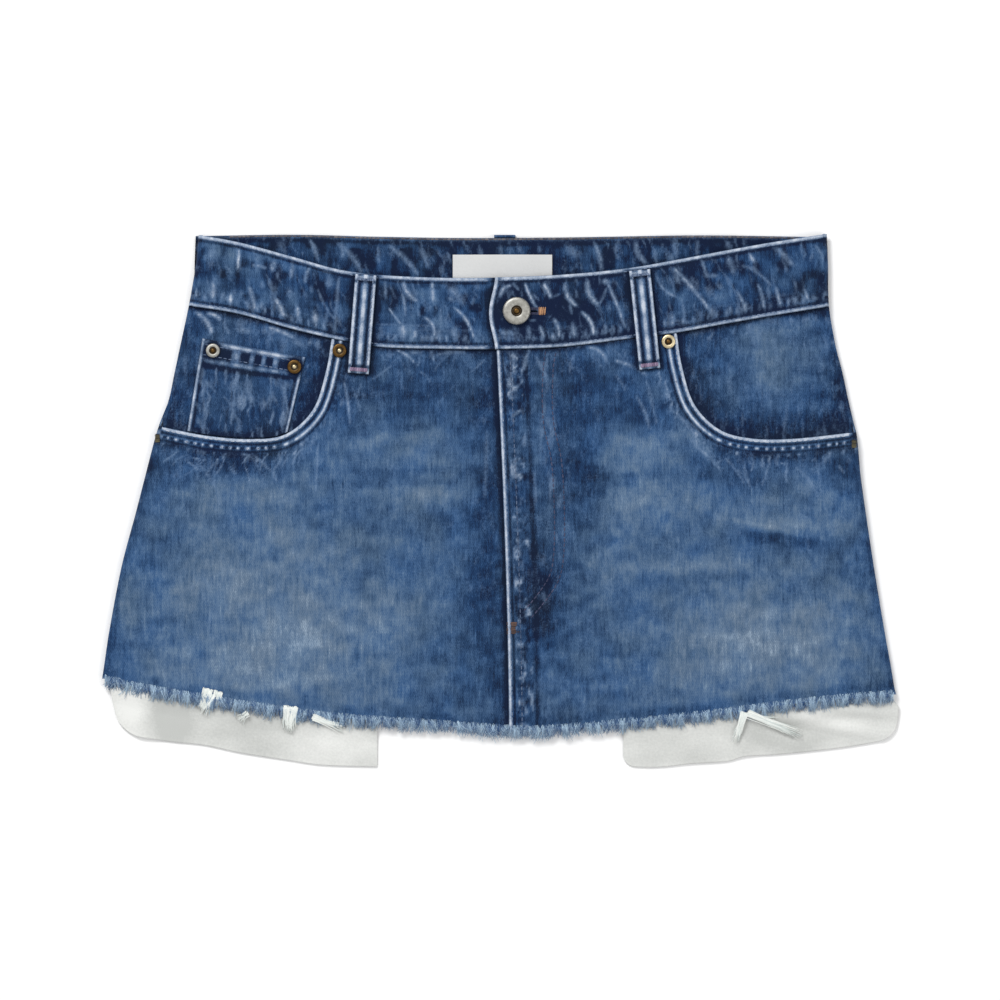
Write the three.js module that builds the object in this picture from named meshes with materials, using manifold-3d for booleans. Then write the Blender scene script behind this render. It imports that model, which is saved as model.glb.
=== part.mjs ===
// A denim mini skirt cut like five-pocket jeans, with a raw frayed hem, laid flat on its back.
// Millimetres. +X is the picture's right, which is the wearer's left. +Y runs from hem to waist.
// +Z is up from the surface that the skirt lies on, and the origin is under its middle.
// "right" and "left" in every name are the wearer's.
import * as THREE from "three";
import { mergeVertices } from "three/addons/utils/BufferGeometryUtils.js";
import Module from "manifold-3d";

const wasm = await Module();
wasm.setup();

// Cloth thicknesses, and the clearances between pieces
const DENIM = 1.2;
const BAND = 2.2;
const BAG = 1;
const LABEL = 1;
const COIN = 1;
const LOOP = 1.6;
const FLAT_LOOP = 1;
const ZIP = 1;
const SEAM_GAP = 0.3;
const LAYER_GAP = 0.4;

// The fold at each side, where the front passes into the back
const FOLD_RADIUS = 3;
const FOLD_SEAM_Z = 3.2;
const FOLD_ANGLES = [0, 30, 60];

// Columns of points that pieces share on their common seam are this far apart
const STATION_STEP = 12;

// Lengths along the skirt
const BAND_HEIGHT = 43;
const LOOP_WIDTH = 13.2;
const LOOP_LENGTH = 61.2;
const FLY_UNDERLAP = 12;
const ZIP_WIDTH = 22;
const TACK_Y = -78;
const FACING_BOTTOM_Y = 16;
const FACING_INNER_MARGIN = 18;
const FRONT_LAP_X = -3;
const FRONT_LAP_BULGE = 3.8;
const BAND_UNDERLAP_X = 22;

// Side outline: one row for each height
const SIDE = [
  { y: 164.6, right: -187, left: 202.9 },
  { y: 147, right: -188.7, left: 203.6 },
  { y: 121, right: -193.1, left: 204.2 },
  { y: 96, right: -198.4, left: 208.3 },
  { y: 80, right: -201.8, left: 212.4 },
  { y: 62, right: -205.7, left: 216.3 },
  { y: 50, right: -210.4, left: 219.1 },
  { y: 40, right: -213.7, left: 221.5 },
  { y: 15, right: -220.2, left: 223.9 },
  { y: -8, right: -226.1, left: 227.1 },
  { y: -40, right: -234.6, left: 231.9 },
  { y: -80, right: -242.3, left: 238.5 },
  { y: -104, right: -245.9, left: 242.8 },
  { y: -117, right: -247.9, left: 245 },
  { y: -127, right: -249, left: 248 },
];

// Front waistband: the height of its top edge and of its lower seam, along the skirt's width
const FRONT_BAND = [
  { x: -193.4, top: 165.6, seam: 120.9 },
  { x: -163, top: 160.4, seam: 115.9 },
  { x: -128, top: 151, seam: 106.1 },
  { x: -100, top: 143.3, seam: 99.6 },
  { x: -75, top: 140, seam: 95.2 },
  { x: -35, top: 138.2, seam: 94 },
  { x: 0, top: 138.3, seam: 93.8 },
  { x: 38, top: 140, seam: 95.2 },
  { x: 77, top: 143.8, seam: 99.9 },
  { x: 108, top: 149, seam: 103.8 },
  { x: 142, top: 155.4, seam: 109.9 },
  { x: 170, top: 160.4, seam: 114.8 },
  { x: 204.4, top: 165.6, seam: 120.4 },
];

// The back waistband's top edge
const BACK_TOP = [
  { x: -193, y: 164.2 },
  { x: -129, y: 165 },
  { x: -79, y: 163.9 },
  { x: -20, y: 163 },
  { x: 40, y: 163.4 },
  { x: 124, y: 164.6 },
  { x: 204, y: 163.6 },
];

// The cut edge of the front hem, before its fringe
const HEM = [
  { x: -249, y: -110 },
  { x: -226, y: -115.5 },
  { x: -186, y: -122.5 },
  { x: -139, y: -129.8 },
  { x: -100, y: -134.8 },
  { x: -60, y: -137.6 },
  { x: -20, y: -140.4 },
  { x: 8, y: -142.4 },
  { x: 30, y: -142.2 },
  { x: 60, y: -139.8 },
  { x: 100, y: -136 },
  { x: 140, y: -131.6 },
  { x: 180, y: -126.4 },
  { x: 215, y: -122.8 },
  { x: 247, y: -120.2 },
];
const BACK_HEM_SHORTER = 2.5;

// The folded edge of each front pocket's mouth, from the waistband round to the side seam
const MOUTH = {
  right: [
    { x: -104.5, y: 99.9 },
    { x: -108, y: 80 },
    { x: -116, y: 56.5 },
    { x: -133, y: 41.2 },
    { x: -155, y: 38.2 },
    { x: -182, y: 40.3 },
    { x: -208, y: 45.4 },
  ],
  left: [
    { x: 109.8, y: 103.4 },
    { x: 112.8, y: 84 },
    { x: 120.5, y: 60 },
    { x: 136, y: 44.2 },
    { x: 156, y: 38.6 },
    { x: 182, y: 38.4 },
    { x: 216, y: 42 },
  ],
};
const MOUTH_SIDE_Y = { right: 46.2, left: 42.4 };

// Belt loops: the middle of the strap at its top, how far its foot is to the side of that, and how
// far its top stands over the band's top edge
const FRONT_LOOPS = {
  right: { x: -83, lean: -4.8, overhang: -0.8 },
  left: { x: 86.5, lean: 6.4, overhang: -2.4 },
};
const BACK_LOOPS = {
  right: { x: -118, overhang: -0.6 },
  centre: { x: 3, overhang: 1.9 },
  left: { x: 124, overhang: -0.6 },
};
const LOOP_PRINT = { flat: 8.6, fade: 42, from: 70, to: 101 };

// Pocket bags: their sides, the radii of their bottom corners, and their bottom edge
const BAGS = {
  right: {
    innerX: -76,
    outerRadius: 13,
    innerRadius: 1.5,
    outer: [
      { y: -100, x: -241 },
      { y: -118, x: -241.6 },
      { y: -135, x: -238.2 },
      { y: -148, x: -235 },
    ],
    bottom: [
      { x: -241, y: -144.6 },
      { x: -226, y: -146.8 },
      { x: -206, y: -149.8 },
      { x: -186, y: -151.8 },
      { x: -163, y: -156.6 },
      { x: -133, y: -161.2 },
      { x: -112, y: -164.2 },
      { x: -76, y: -165.3 },
    ],
  },
  left: {
    innerX: 76.6,
    outerRadius: 9,
    innerRadius: 7,
    outer: [
      { y: -100, x: 237 },
      { y: -119, x: 240.4 },
      { y: -127, x: 247 },
      { y: -133, x: 247.4 },
      { y: -141, x: 246.3 },
      { y: -150, x: 244.5 },
    ],
    bottom: [
      { x: 76.6, y: -165 },
      { x: 97, y: -165.6 },
      { x: 121, y: -163.3 },
      { x: 143, y: -161.8 },
      { x: 153, y: -158.9 },
      { x: 171, y: -157.9 },
      { x: 203, y: -154.8 },
      { x: 225, y: -151.8 },
      { x: 247, y: -147.6 },
    ],
  },
};
const BAG_SIDE_MARGIN = 5.5;
const BAG_TOP_Y = 92;
const BAG_SETTLE = { from: 3, to: 15 };

// Soft folds in the front: their middle, half length, half width, rise and lean from upright
const SOFT_FOLDS = [
  { x: -168, y: -62, length: 62, width: 20, rise: 1.5, lean: 9 },
  { x: -92, y: -40, length: 85, width: 26, rise: 1.7, lean: 4 },
  { x: -36, y: 22, length: 52, width: 17, rise: 0.9, lean: -24 },
  { x: 66, y: -30, length: 80, width: 24, rise: 1.3, lean: -3 },
  { x: 128, y: -70, length: 55, width: 19, rise: 1.6, lean: -8 },
  { x: 192, y: -60, length: 58, width: 16, rise: 1.7, lean: -11 },
  { x: 165, y: 76, length: 30, width: 24, rise: 0.8, lean: 62 },
  { x: -160, y: 74, length: 30, width: 24, rise: 0.7, lean: -58 },
];
const FOLD_FREE_MARGIN = 26;

const lerp = THREE.MathUtils.lerp;
const smoothstep = THREE.MathUtils.smoothstep;
const toRadians = THREE.MathUtils.degToRad;

// A smooth curve through a table's rows: the value of one column where another has the value given
function along(rows, from, to, value) {
  const ordered = rows[0][from] <= rows[rows.length - 1][from] ? rows : [...rows].reverse();
  const last = ordered.length - 1;
  let i = 0;
  while (i < last - 1 && value > ordered[i + 1][from]) i += 1;
  const slope = (a, b) => (ordered[b][to] - ordered[a][to]) / (ordered[b][from] - ordered[a][from]);
  const span = ordered[i + 1][from] - ordered[i][from];
  const t = THREE.MathUtils.clamp((value - ordered[i][from]) / span, -0.2, 1.2);
  const startSlope = slope(Math.max(i - 1, 0), i + 1) * span;
  const endSlope = slope(i, Math.min(i + 2, last)) * span;
  return (
    ordered[i][to] * (2 * t ** 3 - 3 * t ** 2 + 1) +
    startSlope * (t ** 3 - 2 * t ** 2 + t) +
    ordered[i + 1][to] * (3 * t ** 2 - 2 * t ** 3) +
    endSlope * (t ** 3 - t ** 2)
  );
}

const inward = (side) => (side === "right" ? 1 : -1);
const sideX = (side, y) => along(SIDE, "y", side, y);
const bandTopY = (x) => along(FRONT_BAND, "x", "top", x);
const bandSeamY = (x) => along(FRONT_BAND, "x", "seam", x);
const hemY = (x) => along(HEM, "x", "y", x);
const backTopY = (x) => along(BACK_TOP, "x", "y", x);
const backSeamY = (x) => backTopY(x) - BAND_HEIGHT;
const flyX = (y) => 5.6 - 7.8 * ((y + 145) / 240) ** 1.6;

// How far a point is inside the nearer side
function sideDistance(x, y) {
  return Math.min(x - sideX("right", y), sideX("left", y) - x);
}

// A round-topped window: 1 at its middle, 0 from its half width outwards
function hump(offset, halfWidth) {
  const t = Math.min(Math.abs(offset) / halfWidth, 1);
  return 0.5 + 0.5 * Math.cos(Math.PI * t);
}

// The back's loops lie between it and the surface, so every layer rises over them
function loopRise(x, y) {
  const high = smoothstep(y, LOOP_PRINT.from, LOOP_PRINT.to);
  const offset = Math.min(...Object.values(BACK_LOOPS).map((loop) => Math.abs(x - loop.x)));
  return (FLAT_LOOP + LAYER_GAP) * high * (1 - smoothstep(offset, LOOP_PRINT.flat, LOOP_PRINT.fade));
}

// The soft folds of the front layers, which die out at the side folds
function softRise(x, y) {
  let rise = 0;
  for (const fold of SOFT_FOLDS) {
    const angle = toRadians(fold.lean);
    const [dx, dy] = [x - fold.x, y - fold.y];
    const across = dx * Math.cos(angle) + dy * Math.sin(angle);
    const lengthwise = dy * Math.cos(angle) - dx * Math.sin(angle);
    rise += fold.rise * hump(across, fold.width * 1.6) * hump(lengthwise, fold.length * 1.4);
  }
  return rise * smoothstep(sideDistance(x, y), FOLD_RADIUS, FOLD_FREE_MARGIN);
}

// Levels of the layers' outer faces above the surface, before the rises
const HIP_LEVEL = 6.2;
const UNDERLAP_LEVEL = 4.4;
const HEM_DROP = 1.6;
const FACING_LEVEL = 4.6;
const BAND_LEVEL = 6.9;
const BAND_UNDER_LEVEL = 6.2;
const BAND_OVER_LEVEL = 8.8;
const BAG_LEVEL = 1.6;

const hemDrop = (y) => HEM_DROP * (1 - smoothstep(y, -90, 10));
const zipRoom = (y) => (ZIP + LAYER_GAP) * smoothstep(y, -115, TACK_Y);
const frontRise = (x, y) => loopRise(x, y) + softRise(x, y);
const underLevel = (y) => UNDERLAP_LEVEL - hemDrop(y);

// Outer faces of the front's layers
const LEVEL = {
  rightPanel: (x, y) => lerp(HIP_LEVEL - hemDrop(y), underLevel(y), smoothstep(x, -72, -12)) + frontRise(x, y),
  leftPanel: (x, y) => {
    const overLevel = underLevel(y) + zipRoom(y) + LAYER_GAP + DENIM;
    return lerp(overLevel, HIP_LEVEL - hemDrop(y), smoothstep(x, 30, 95)) + frontRise(x, y);
  },
  zip: (x, y) => underLevel(y) + LAYER_GAP + ZIP + frontRise(x, y),
  facing: (x, y) => FACING_LEVEL + frontRise(x, y),
  coin: (x, y) => FACING_LEVEL + LAYER_GAP + COIN + frontRise(x, y),
  rightBand: (x, y) => lerp(BAND_LEVEL, BAND_UNDER_LEVEL, smoothstep(x, -64, -20)) + frontRise(x, y),
  leftBand: (x, y) => lerp(BAND_OVER_LEVEL, BAND_LEVEL, smoothstep(x, 24, 84)) + frontRise(x, y),
  label: (x, y) => BAND + LAYER_GAP + LABEL + loopRise(x, y),
  back: (x, y) => loopRise(x, y),
};

// A closed wall over a grid: place(column, row, face) gives its points, face 0 outside and 1 inside
function wall(columns, rows, place) {
  const points = [];
  const faces = [];
  const at = (i, j, face) => (face * columns.length + i) * rows.length + j;
  for (const face of [0, 1])
    for (const column of columns) for (const row of rows) points.push(...place(column, row, face));
  const quad = (a, b, c, d) => faces.push(a, b, c, a, c, d);
  const [lastColumn, lastRow] = [columns.length - 1, rows.length - 1];
  for (let i = 0; i < lastColumn; i += 1)
    for (let j = 0; j < lastRow; j += 1) {
      quad(at(i, j, 0), at(i + 1, j, 0), at(i + 1, j + 1, 0), at(i, j + 1, 0));
      quad(at(i, j, 1), at(i, j + 1, 1), at(i + 1, j + 1, 1), at(i + 1, j, 1));
    }
  for (let i = 0; i < lastColumn; i += 1) {
    quad(at(i, 0, 0), at(i, 0, 1), at(i + 1, 0, 1), at(i + 1, 0, 0));
    quad(at(i, lastRow, 0), at(i + 1, lastRow, 0), at(i + 1, lastRow, 1), at(i, lastRow, 1));
  }
  for (let j = 0; j < lastRow; j += 1) {
    quad(at(0, j, 0), at(0, j + 1, 0), at(0, j + 1, 1), at(0, j, 1));
    quad(at(lastColumn, j, 0), at(lastColumn, j, 1), at(lastColumn, j + 1, 1), at(lastColumn, j + 1, 0));
  }
  return facingOut(points, faces);
}

// A geometry whose faces point out, whichever way its grid ran
function facingOut(points, faces) {
  const p = (k) => new THREE.Vector3().fromArray(points, k * 3);
  let volume = 0;
  for (let f = 0; f < faces.length; f += 3) {
    volume += p(faces[f]).dot(p(faces[f + 1]).cross(p(faces[f + 2])));
  }
  if (volume < 0)
    for (let f = 0; f < faces.length; f += 3) [faces[f + 1], faces[f + 2]] = [faces[f + 2], faces[f + 1]];
  const geometry = new THREE.BufferGeometry();
  geometry.setAttribute("position", new THREE.Float32BufferAttribute(points, 3));
  geometry.setIndex(faces);
  return geometry;
}

// Even steps from 0 to 1
const steps = (count) => Array.from({ length: count + 1 }, (_, i) => i / count);

// A point of a layer that rounds over at the side fold. angle 90 is past the fold, on the flat.
// The front rounds down to the side seam from its level, the back rounds up to it.
function foldPoint({ side, y, angle, flatX, level, thickness, face, front = true, inset = 0 }) {
  const turn = toRadians(angle);
  const offset = face * thickness;
  const radius = FOLD_RADIUS - offset;
  const seamZ = FOLD_SEAM_Z + (front ? SEAM_GAP / 2 : -SEAM_GAP / 2);
  const distance = inset + offset + radius * (1 - Math.cos(turn));
  const x = flatX ?? sideX(side, y) + inward(side) * distance;
  const flatZ = level(x, y) + (front ? -offset : offset);
  return [x, y, lerp(seamZ, flatZ, Math.sin(turn))];
}

// Where the flat of a layer starts, beside its fold
const flatStart = (side, y, inset = 0) => sideX(side, y) + inward(side) * (inset + FOLD_RADIUS);

// The height at which a column that drifts sideways on its way down meets a line
function meetY(columnX, lineY) {
  let y = lineY(columnX(0));
  for (let pass = 0; pass < 6; pass += 1) y = lineY(columnX(y));
  return y;
}

// The shared columns between two places on a seam, in order from the first to the second
function stations(fromX, toX) {
  const ends = [fromX, toX].sort((a, b) => a - b);
  const least = STATION_STEP / 4;
  const found = [];
  for (let k = Math.ceil((ends[0] + least) / STATION_STEP); k * STATION_STEP < ends[1] - least; k += 1) {
    found.push(k * STATION_STEP);
  }
  return fromX < toX ? found : found.reverse();
}

// Rows are given as a height, as a distance below the hem, or as a share of a stretch of the way
function rowY(row, x, topY, bottomY) {
  if (row.y !== undefined) return row.y;
  if (row.belowHem !== undefined) return hemY(x) - row.belowHem;
  return lerp(row.from ?? topY, row.to ?? bottomY, row.share);
}

const evenRows = (count) => steps(count).map((share) => ({ share }));

// A piece that spans from the side fold inwards, between a top and a bottom line. Its columns
// stand on the shared stations where they meet its seam line.
function sidePiece({ side, level, thickness, innerX, topY, bottomY, seamY, rows, front = true, inset }) {
  const insetAt = inset ?? (() => 0);
  const startX = (y) => flatStart(side, y, insetAt(y));
  const seamStartY = meetY(startX, seamY);
  const shares = stations(startX(seamStartY), innerX(seamStartY)).map((x) => {
    const y = seamY(x);
    return (x - startX(y)) / (innerX(y) - startX(y));
  });
  const folds = FOLD_ANGLES.map((angle) => ({ angle }));
  const flats = [0, ...shares, 1].map((share) => ({ angle: 90, share }));
  return wall([...folds, ...flats], rows, ({ angle, share }, row, face) => {
    const columnX = (y) => (share === undefined ? sideX(side, y) : lerp(startX(y), innerX(y), share));
    const [top, bottom] = [meetY(columnX, topY), meetY(columnX, bottomY)];
    const y = rowY(row, columnX(bottom), top, bottom);
    const flatX = share === undefined ? undefined : columnX(y);
    return foldPoint({ side, y, angle, flatX, level, thickness, face, front, inset: insetAt(y) });
  });
}

// A front panel, from the waistband and the pocket's mouth down to the raw hem
function frontPanel(side, level, centreX) {
  const mouth = new THREE.SplineCurve(MOUTH[side].map(({ x, y }) => new THREE.Vector2(x, y)));
  const hip = MOUTH[side][0];
  const startX = (y) => flatStart(side, y);
  const xAt = (share, y) => lerp(startX(y), centreX(y), share);
  const share = (x, y) => (x - startX(y)) / (centreX(y) - startX(y));
  const hipFoot = share(hip.x, hemY(hip.x));
  const mouthColumns = steps(13).map((t) => {
    const point = mouth.getPoint(1 - t);
    return { top: t === 0 ? 0 : share(point.x, point.y), foot: hipFoot * t, topY: point.y };
  });
  const hipTop = share(hip.x, hip.y);
  const seamX = [...stations(hip.x, centreX(94)), centreX(94)];
  const seamColumns = seamX.map((x) => {
    const topY = bandSeamY(x) - SEAM_GAP;
    const top = share(x, topY);
    return { top, foot: lerp(hipFoot, 1, (top - hipTop) / (1 - hipTop)), topY };
  });
  const folds = FOLD_ANGLES.map((angle) => ({ angle, topY: MOUTH_SIDE_Y[side] }));
  return wall([...folds, ...mouthColumns, ...seamColumns], evenRows(12), (column, row, face) => {
    const onFold = column.angle !== undefined;
    const footX = (y) => (onFold ? sideX(side, y) : xAt(column.foot, y));
    const y = rowY(row, 0, column.topY, meetY(footX, hemY));
    const flatX = onFold ? undefined : xAt(lerp(column.top, column.foot, row.share), y);
    return foldPoint({ side, y, angle: column.angle ?? 90, flatX, level, thickness: DENIM, face });
  });
}

// The pocket facing, which shows inside the mouth and slips under the front panel below it
function pocketFacing(side) {
  const innerX = MOUTH[side][0].x + inward(side) * FACING_INNER_MARGIN;
  const topY = (x) => bandSeamY(x) - SEAM_GAP;
  const hiddenInset = FOLD_RADIUS - 0.8;
  const tuck = { from: MOUTH_SIDE_Y[side] + 0.5, to: MOUTH_SIDE_Y[side] + 7 };
  const shown = steps(6).map((share) => ({ share, to: tuck.to }));
  const hidden = steps(3).map((share) => ({ share, from: tuck.from }));
  return sidePiece({
    side,
    level: LEVEL.facing,
    thickness: DENIM,
    innerX: () => innerX,
    topY,
    bottomY: () => FACING_BOTTOM_Y,
    seamY: topY,
    rows: [...shown, ...hidden],
    inset: (y) => hiddenInset * (1 - smoothstep(y, tuck.from, tuck.to)),
  });
}

// One half of the front waistband, from the side fold to its end at the centre
function frontBand(side, level, innerX) {
  return sidePiece({
    side,
    level,
    thickness: BAND,
    innerX,
    topY: bandTopY,
    bottomY: bandSeamY,
    seamY: bandSeamY,
    rows: evenRows(4),
  });
}

// The back waistband, in one piece from side to side
function backBand() {
  const folds = (side) => FOLD_ANGLES.map((angle) => ({ side, angle }));
  const columnX = (x) => ({ side: "right", angle: 90, x });
  const bottomSide = (side) => flatStart(side, backSeamY(190));
  const middles = stations(bottomSide("right"), bottomSide("left")).map(columnX);
  const ends = (side) => ({ side, angle: 90 });
  const columns = [...folds("right"), ends("right"), ...middles, ends("left"), ...folds("left").reverse()];
  return wall(columns, steps(4), ({ side, angle, x }, row, face) => {
    const y = backTopY(x ?? sideX(side, 143)) - row * BAND_HEIGHT;
    const narrowed = x === undefined ? flatStart(side, y) : x * (flatStart("left", y) / bottomSide("left"));
    const flatX = angle === 90 ? narrowed : undefined;
    return foldPoint({ side, y, angle, flatX, level: LEVEL.back, thickness: BAND, face, front: false });
  });
}

// A back panel, from the waistband down to the raw hem, joined to the other along the middle
const BACK_MIDDLE_X = 3;
const BACK_ROW_HEIGHTS = [110, 100, 90, 80, 68];

function backPanel(side) {
  const topY = (x) => backSeamY(x) - SEAM_GAP;
  const heights = BACK_ROW_HEIGHTS.map((y) => ({ y }));
  const lower = steps(4).slice(1).map((share) => ({ share, from: BACK_ROW_HEIGHTS.at(-1) }));
  return sidePiece({
    side,
    level: LEVEL.back,
    thickness: DENIM,
    innerX: () => BACK_MIDDLE_X - (inward(side) * SEAM_GAP) / 2,
    topY,
    bottomY: (x) => hemY(x) + BACK_HEM_SHORTER,
    seamY: topY,
    rows: [{ share: 0 }, ...heights, ...lower],
    front: false,
  });
}

// The coin pocket on the right facing: its top corners and the way that its sides run down
const COIN_POCKET = {
  outer: { x: -184.6, y: 100.6, footX: -194 },
  inner: { x: -120.6, y: 88.8, footX: -131.5 },
};
const COIN_FOOT_CLEARANCE = 0.8;

function coinPocket() {
  const { outer, inner } = COIN_POCKET;
  const mouthRows = MOUTH.right.slice(2);
  return wall(steps(8), steps(7), (share, row, face) => {
    const footX = lerp(outer.footX, inner.footX, share);
    const footY = along(mouthRows, "x", "y", footX) + COIN_FOOT_CLEARANCE;
    const x = lerp(lerp(outer.x, inner.x, share), footX, row);
    const y = lerp(lerp(outer.y, inner.y, share), footY, row);
    return [x, y, LEVEL.coin(x, y) - face * COIN];
  });
}

// A pocket bag: both of its layers as one flat piece that hangs out below the hem
const BAG_ROWS = [
  ...[BAG_TOP_Y, 80, 68, 20, -40, -95].map((y) => ({ y })),
  ...[2, 6, 10.5, 16].map((belowHem) => ({ belowHem })),
  { share: 1 },
];

function pocketBag(side) {
  const bag = BAGS[side];
  const outerX = (y) => {
    const insideX = sideX(side, y) + inward(side) * BAG_SIDE_MARGIN;
    return lerp(along(bag.outer, "y", "x", y), insideX, smoothstep(y, -112, -96));
  };
  const corner = (distance, radius) =>
    distance >= radius ? 0 : radius - Math.sqrt(radius ** 2 - (radius - distance) ** 2);
  const width = Math.abs(bag.innerX - outerX(-140));
  // Shares of the way in are packed where a corner is round
  const columns = steps(16).map((t) => (1 - Math.cos(Math.PI * t)) / 2);
  return wall(columns, BAG_ROWS, (share, row, face) => {
    const columnX = (y) => lerp(outerX(y), bag.innerX, share);
    const footX = columnX(-140);
    const lift = corner(share * width, bag.outerRadius) + corner((1 - share) * width, bag.innerRadius);
    const y = rowY(row, footX, BAG_TOP_Y, along(bag.bottom, "x", "y", footX) + lift);
    const x = columnX(y);
    const level = BAG_LEVEL * (1 - smoothstep(hemY(x) - y, BAG_SETTLE.from, BAG_SETTLE.to));
    return [x, y, level + loopRise(x, y) + (1 - face) * BAG];
  });
}

// A belt loop on the front: a strap over the band, sewn down at its top edge and below its seam
function frontLoop(side) {
  const { x: topX, lean, overhang } = FRONT_LOOPS[side];
  const [band, panel] = side === "right" ? [LEVEL.rightBand, LEVEL.rightPanel] : [LEVEL.leftBand, LEVEL.leftPanel];
  const arch = 1.1;
  const length = LOOP_LENGTH;
  const tilt = Math.atan2(lean, length);
  return wall(steps(3), steps(12), (share, row, face) => {
    const across = (share - 0.5) * LOOP_WIDTH;
    const x = topX + lean * row + across * Math.cos(tilt);
    const y = bandTopY(topX) + overhang - row * length + across * Math.sin(tilt);
    const onBand = smoothstep(y, bandSeamY(x) - 9, bandSeamY(x) - 2);
    const seat = lerp(panel(x, y), band(x, y), onBand);
    const standOff = LAYER_GAP + arch * Math.sin(Math.PI * row) ** 0.7;
    return [x, y, seat + standOff + (1 - face) * LOOP];
  });
}

// A belt loop on the back: pressed flat under the band. Where its top reaches past the band's edge
// it turns up over that edge.
function backLoop({ x, overhang }) {
  const top = backTopY(x) + overhang;
  const foot = top - LOOP_LENGTH;
  const turnedUp = [
    new THREE.Vector2(top - 0.5, 0),
    new THREE.Vector2(top, 0.5),
    new THREE.Vector2(top, 3.1),
    new THREE.Vector2(top - 0.5, 3.6),
    new THREE.Vector2(backTopY(x) + SEAM_GAP, 3.6),
    new THREE.Vector2(backTopY(x) + SEAM_GAP, FLAT_LOOP),
  ];
  const plain = [new THREE.Vector2(top, 0), new THREE.Vector2(top, FLAT_LOOP)];
  const profile = new THREE.Shape([
    new THREE.Vector2(foot, 0),
    ...(overhang > 0 ? turnedUp : plain),
    new THREE.Vector2(foot, FLAT_LOOP),
  ]);
  const geometry = new THREE.ExtrudeGeometry(profile, { depth: LOOP_WIDTH, bevelEnabled: false });
  // The profile's own axes are the skirt's length and height, and it is drawn out along its width
  const [length, height, across] = [new THREE.Vector3(0, 1, 0), new THREE.Vector3(0, 0, 1), new THREE.Vector3(1, 0, 0)];
  const stand = new THREE.Matrix4().makeBasis(length, height, across);
  return geometry.applyMatrix4(stand.setPosition(x - LOOP_WIDTH / 2, 0, 0));
}

// The blank label inside the back waistband
const LABEL_SIZE = { fromX: -29.3, toX: 32.4, topY: 152.6, bottomY: 130.6 };

function label() {
  return wall(steps(10), steps(3), (share, row, face) => {
    const x = lerp(LABEL_SIZE.fromX, LABEL_SIZE.toX, share);
    const y = lerp(LABEL_SIZE.topY, LABEL_SIZE.bottomY, row);
    return [x, y, LEVEL.label(x, y) - face * LABEL];
  });
}

// The closed zip in the fly, between the two fronts
function flyZip() {
  const topY = 92;
  return wall(steps(2), steps(13), (share, row, face) => {
    const y = lerp(topY, TACK_Y + 4, row);
    const x = flyX(y) + 2 + share * ZIP_WIDTH;
    return [x, y, LEVEL.zip(x, y) - face * ZIP];
  });
}

// Profiles turned about the upright axis: radius, then height above the cloth
const BUTTON_RADIUS = 8.6;
const BUTTON_SHANK_RADIUS = 2.3;
const BUTTON_PROFILE = [
  { radius: 7.2, height: 0 },
  { radius: BUTTON_RADIUS, height: 0.9 },
  { radius: 8.4, height: 1.9 },
  { radius: 7.4, height: 2.6 },
  { radius: 4.4, height: 2.7 },
  { radius: 3, height: 2.3 },
  { radius: 2.5, height: 1.6 },
  { radius: 1.5, height: 1.6 },
  { radius: 1.1, height: 2.3 },
  { radius: 0, height: 2.5 },
];
const RIVET_RADIUS = 4.4;
const RIVET_PROFILE = [
  { radius: 0, height: 0 },
  { radius: RIVET_RADIUS, height: 0 },
  { radius: RIVET_RADIUS, height: 0.6 },
  { radius: 3.8, height: 1.2 },
  { radius: 2.3, height: 1.3 },
  { radius: 1.7, height: 0.8 },
  { radius: 1.2, height: 1.7 },
  { radius: 0, height: 2 },
];

function turned(profile, segments) {
  const points = profile.map(({ radius, height }) => new THREE.Vector2(radius, height));
  return new THREE.LatheGeometry(points, segments).rotateX(Math.PI / 2);
}

const BUTTON = { x: 10.3, y: 117.4 };
const BUTTONHOLE = { length: 17.4, halfWidth: 1.1, eyeRadius: 2.7 };
const BUTTON_GAP = 0.5;

function button() {
  const { x, y } = BUTTON;
  const headZ = LEVEL.leftBand(x, y) + BUTTON_GAP;
  const shankZ = LEVEL.rightBand(x, y) + LAYER_GAP;
  const shank = [
    { radius: 0, height: shankZ - headZ },
    { radius: BUTTON_SHANK_RADIUS, height: shankZ - headZ },
    { radius: BUTTON_SHANK_RADIUS, height: 0 },
  ];
  return turned([...shank, ...BUTTON_PROFILE], 24).translate(x, y, headZ);
}

// A rivet seated square to the layer that carries it
function rivet({ x, y, level }) {
  const reach = 2;
  const slopeX = (level(x + reach, y) - level(x - reach, y)) / (2 * reach);
  const slopeY = (level(x, y + reach) - level(x, y - reach)) / (2 * reach);
  const normal = new THREE.Vector3(-slopeX, -slopeY, 1).normalize();
  const turn = new THREE.Quaternion().setFromUnitVectors(new THREE.Vector3(0, 0, 1), normal);
  return turned(RIVET_PROFILE, 16)
    .applyQuaternion(turn)
    .translate(x, y, level(x, y) + LAYER_GAP);
}

const RIVETS = {
  rivet_coin_outer: { x: -177.9, y: 93, level: LEVEL.coin },
  rivet_coin_inner: { x: -127.4, y: 83, level: LEVEL.coin },
  rivet_mouth_right: { x: -99.4, y: 93, level: LEVEL.rightPanel },
  rivet_mouth_left: { x: 104.4, y: 98.6, level: LEVEL.leftPanel },
};

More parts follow.
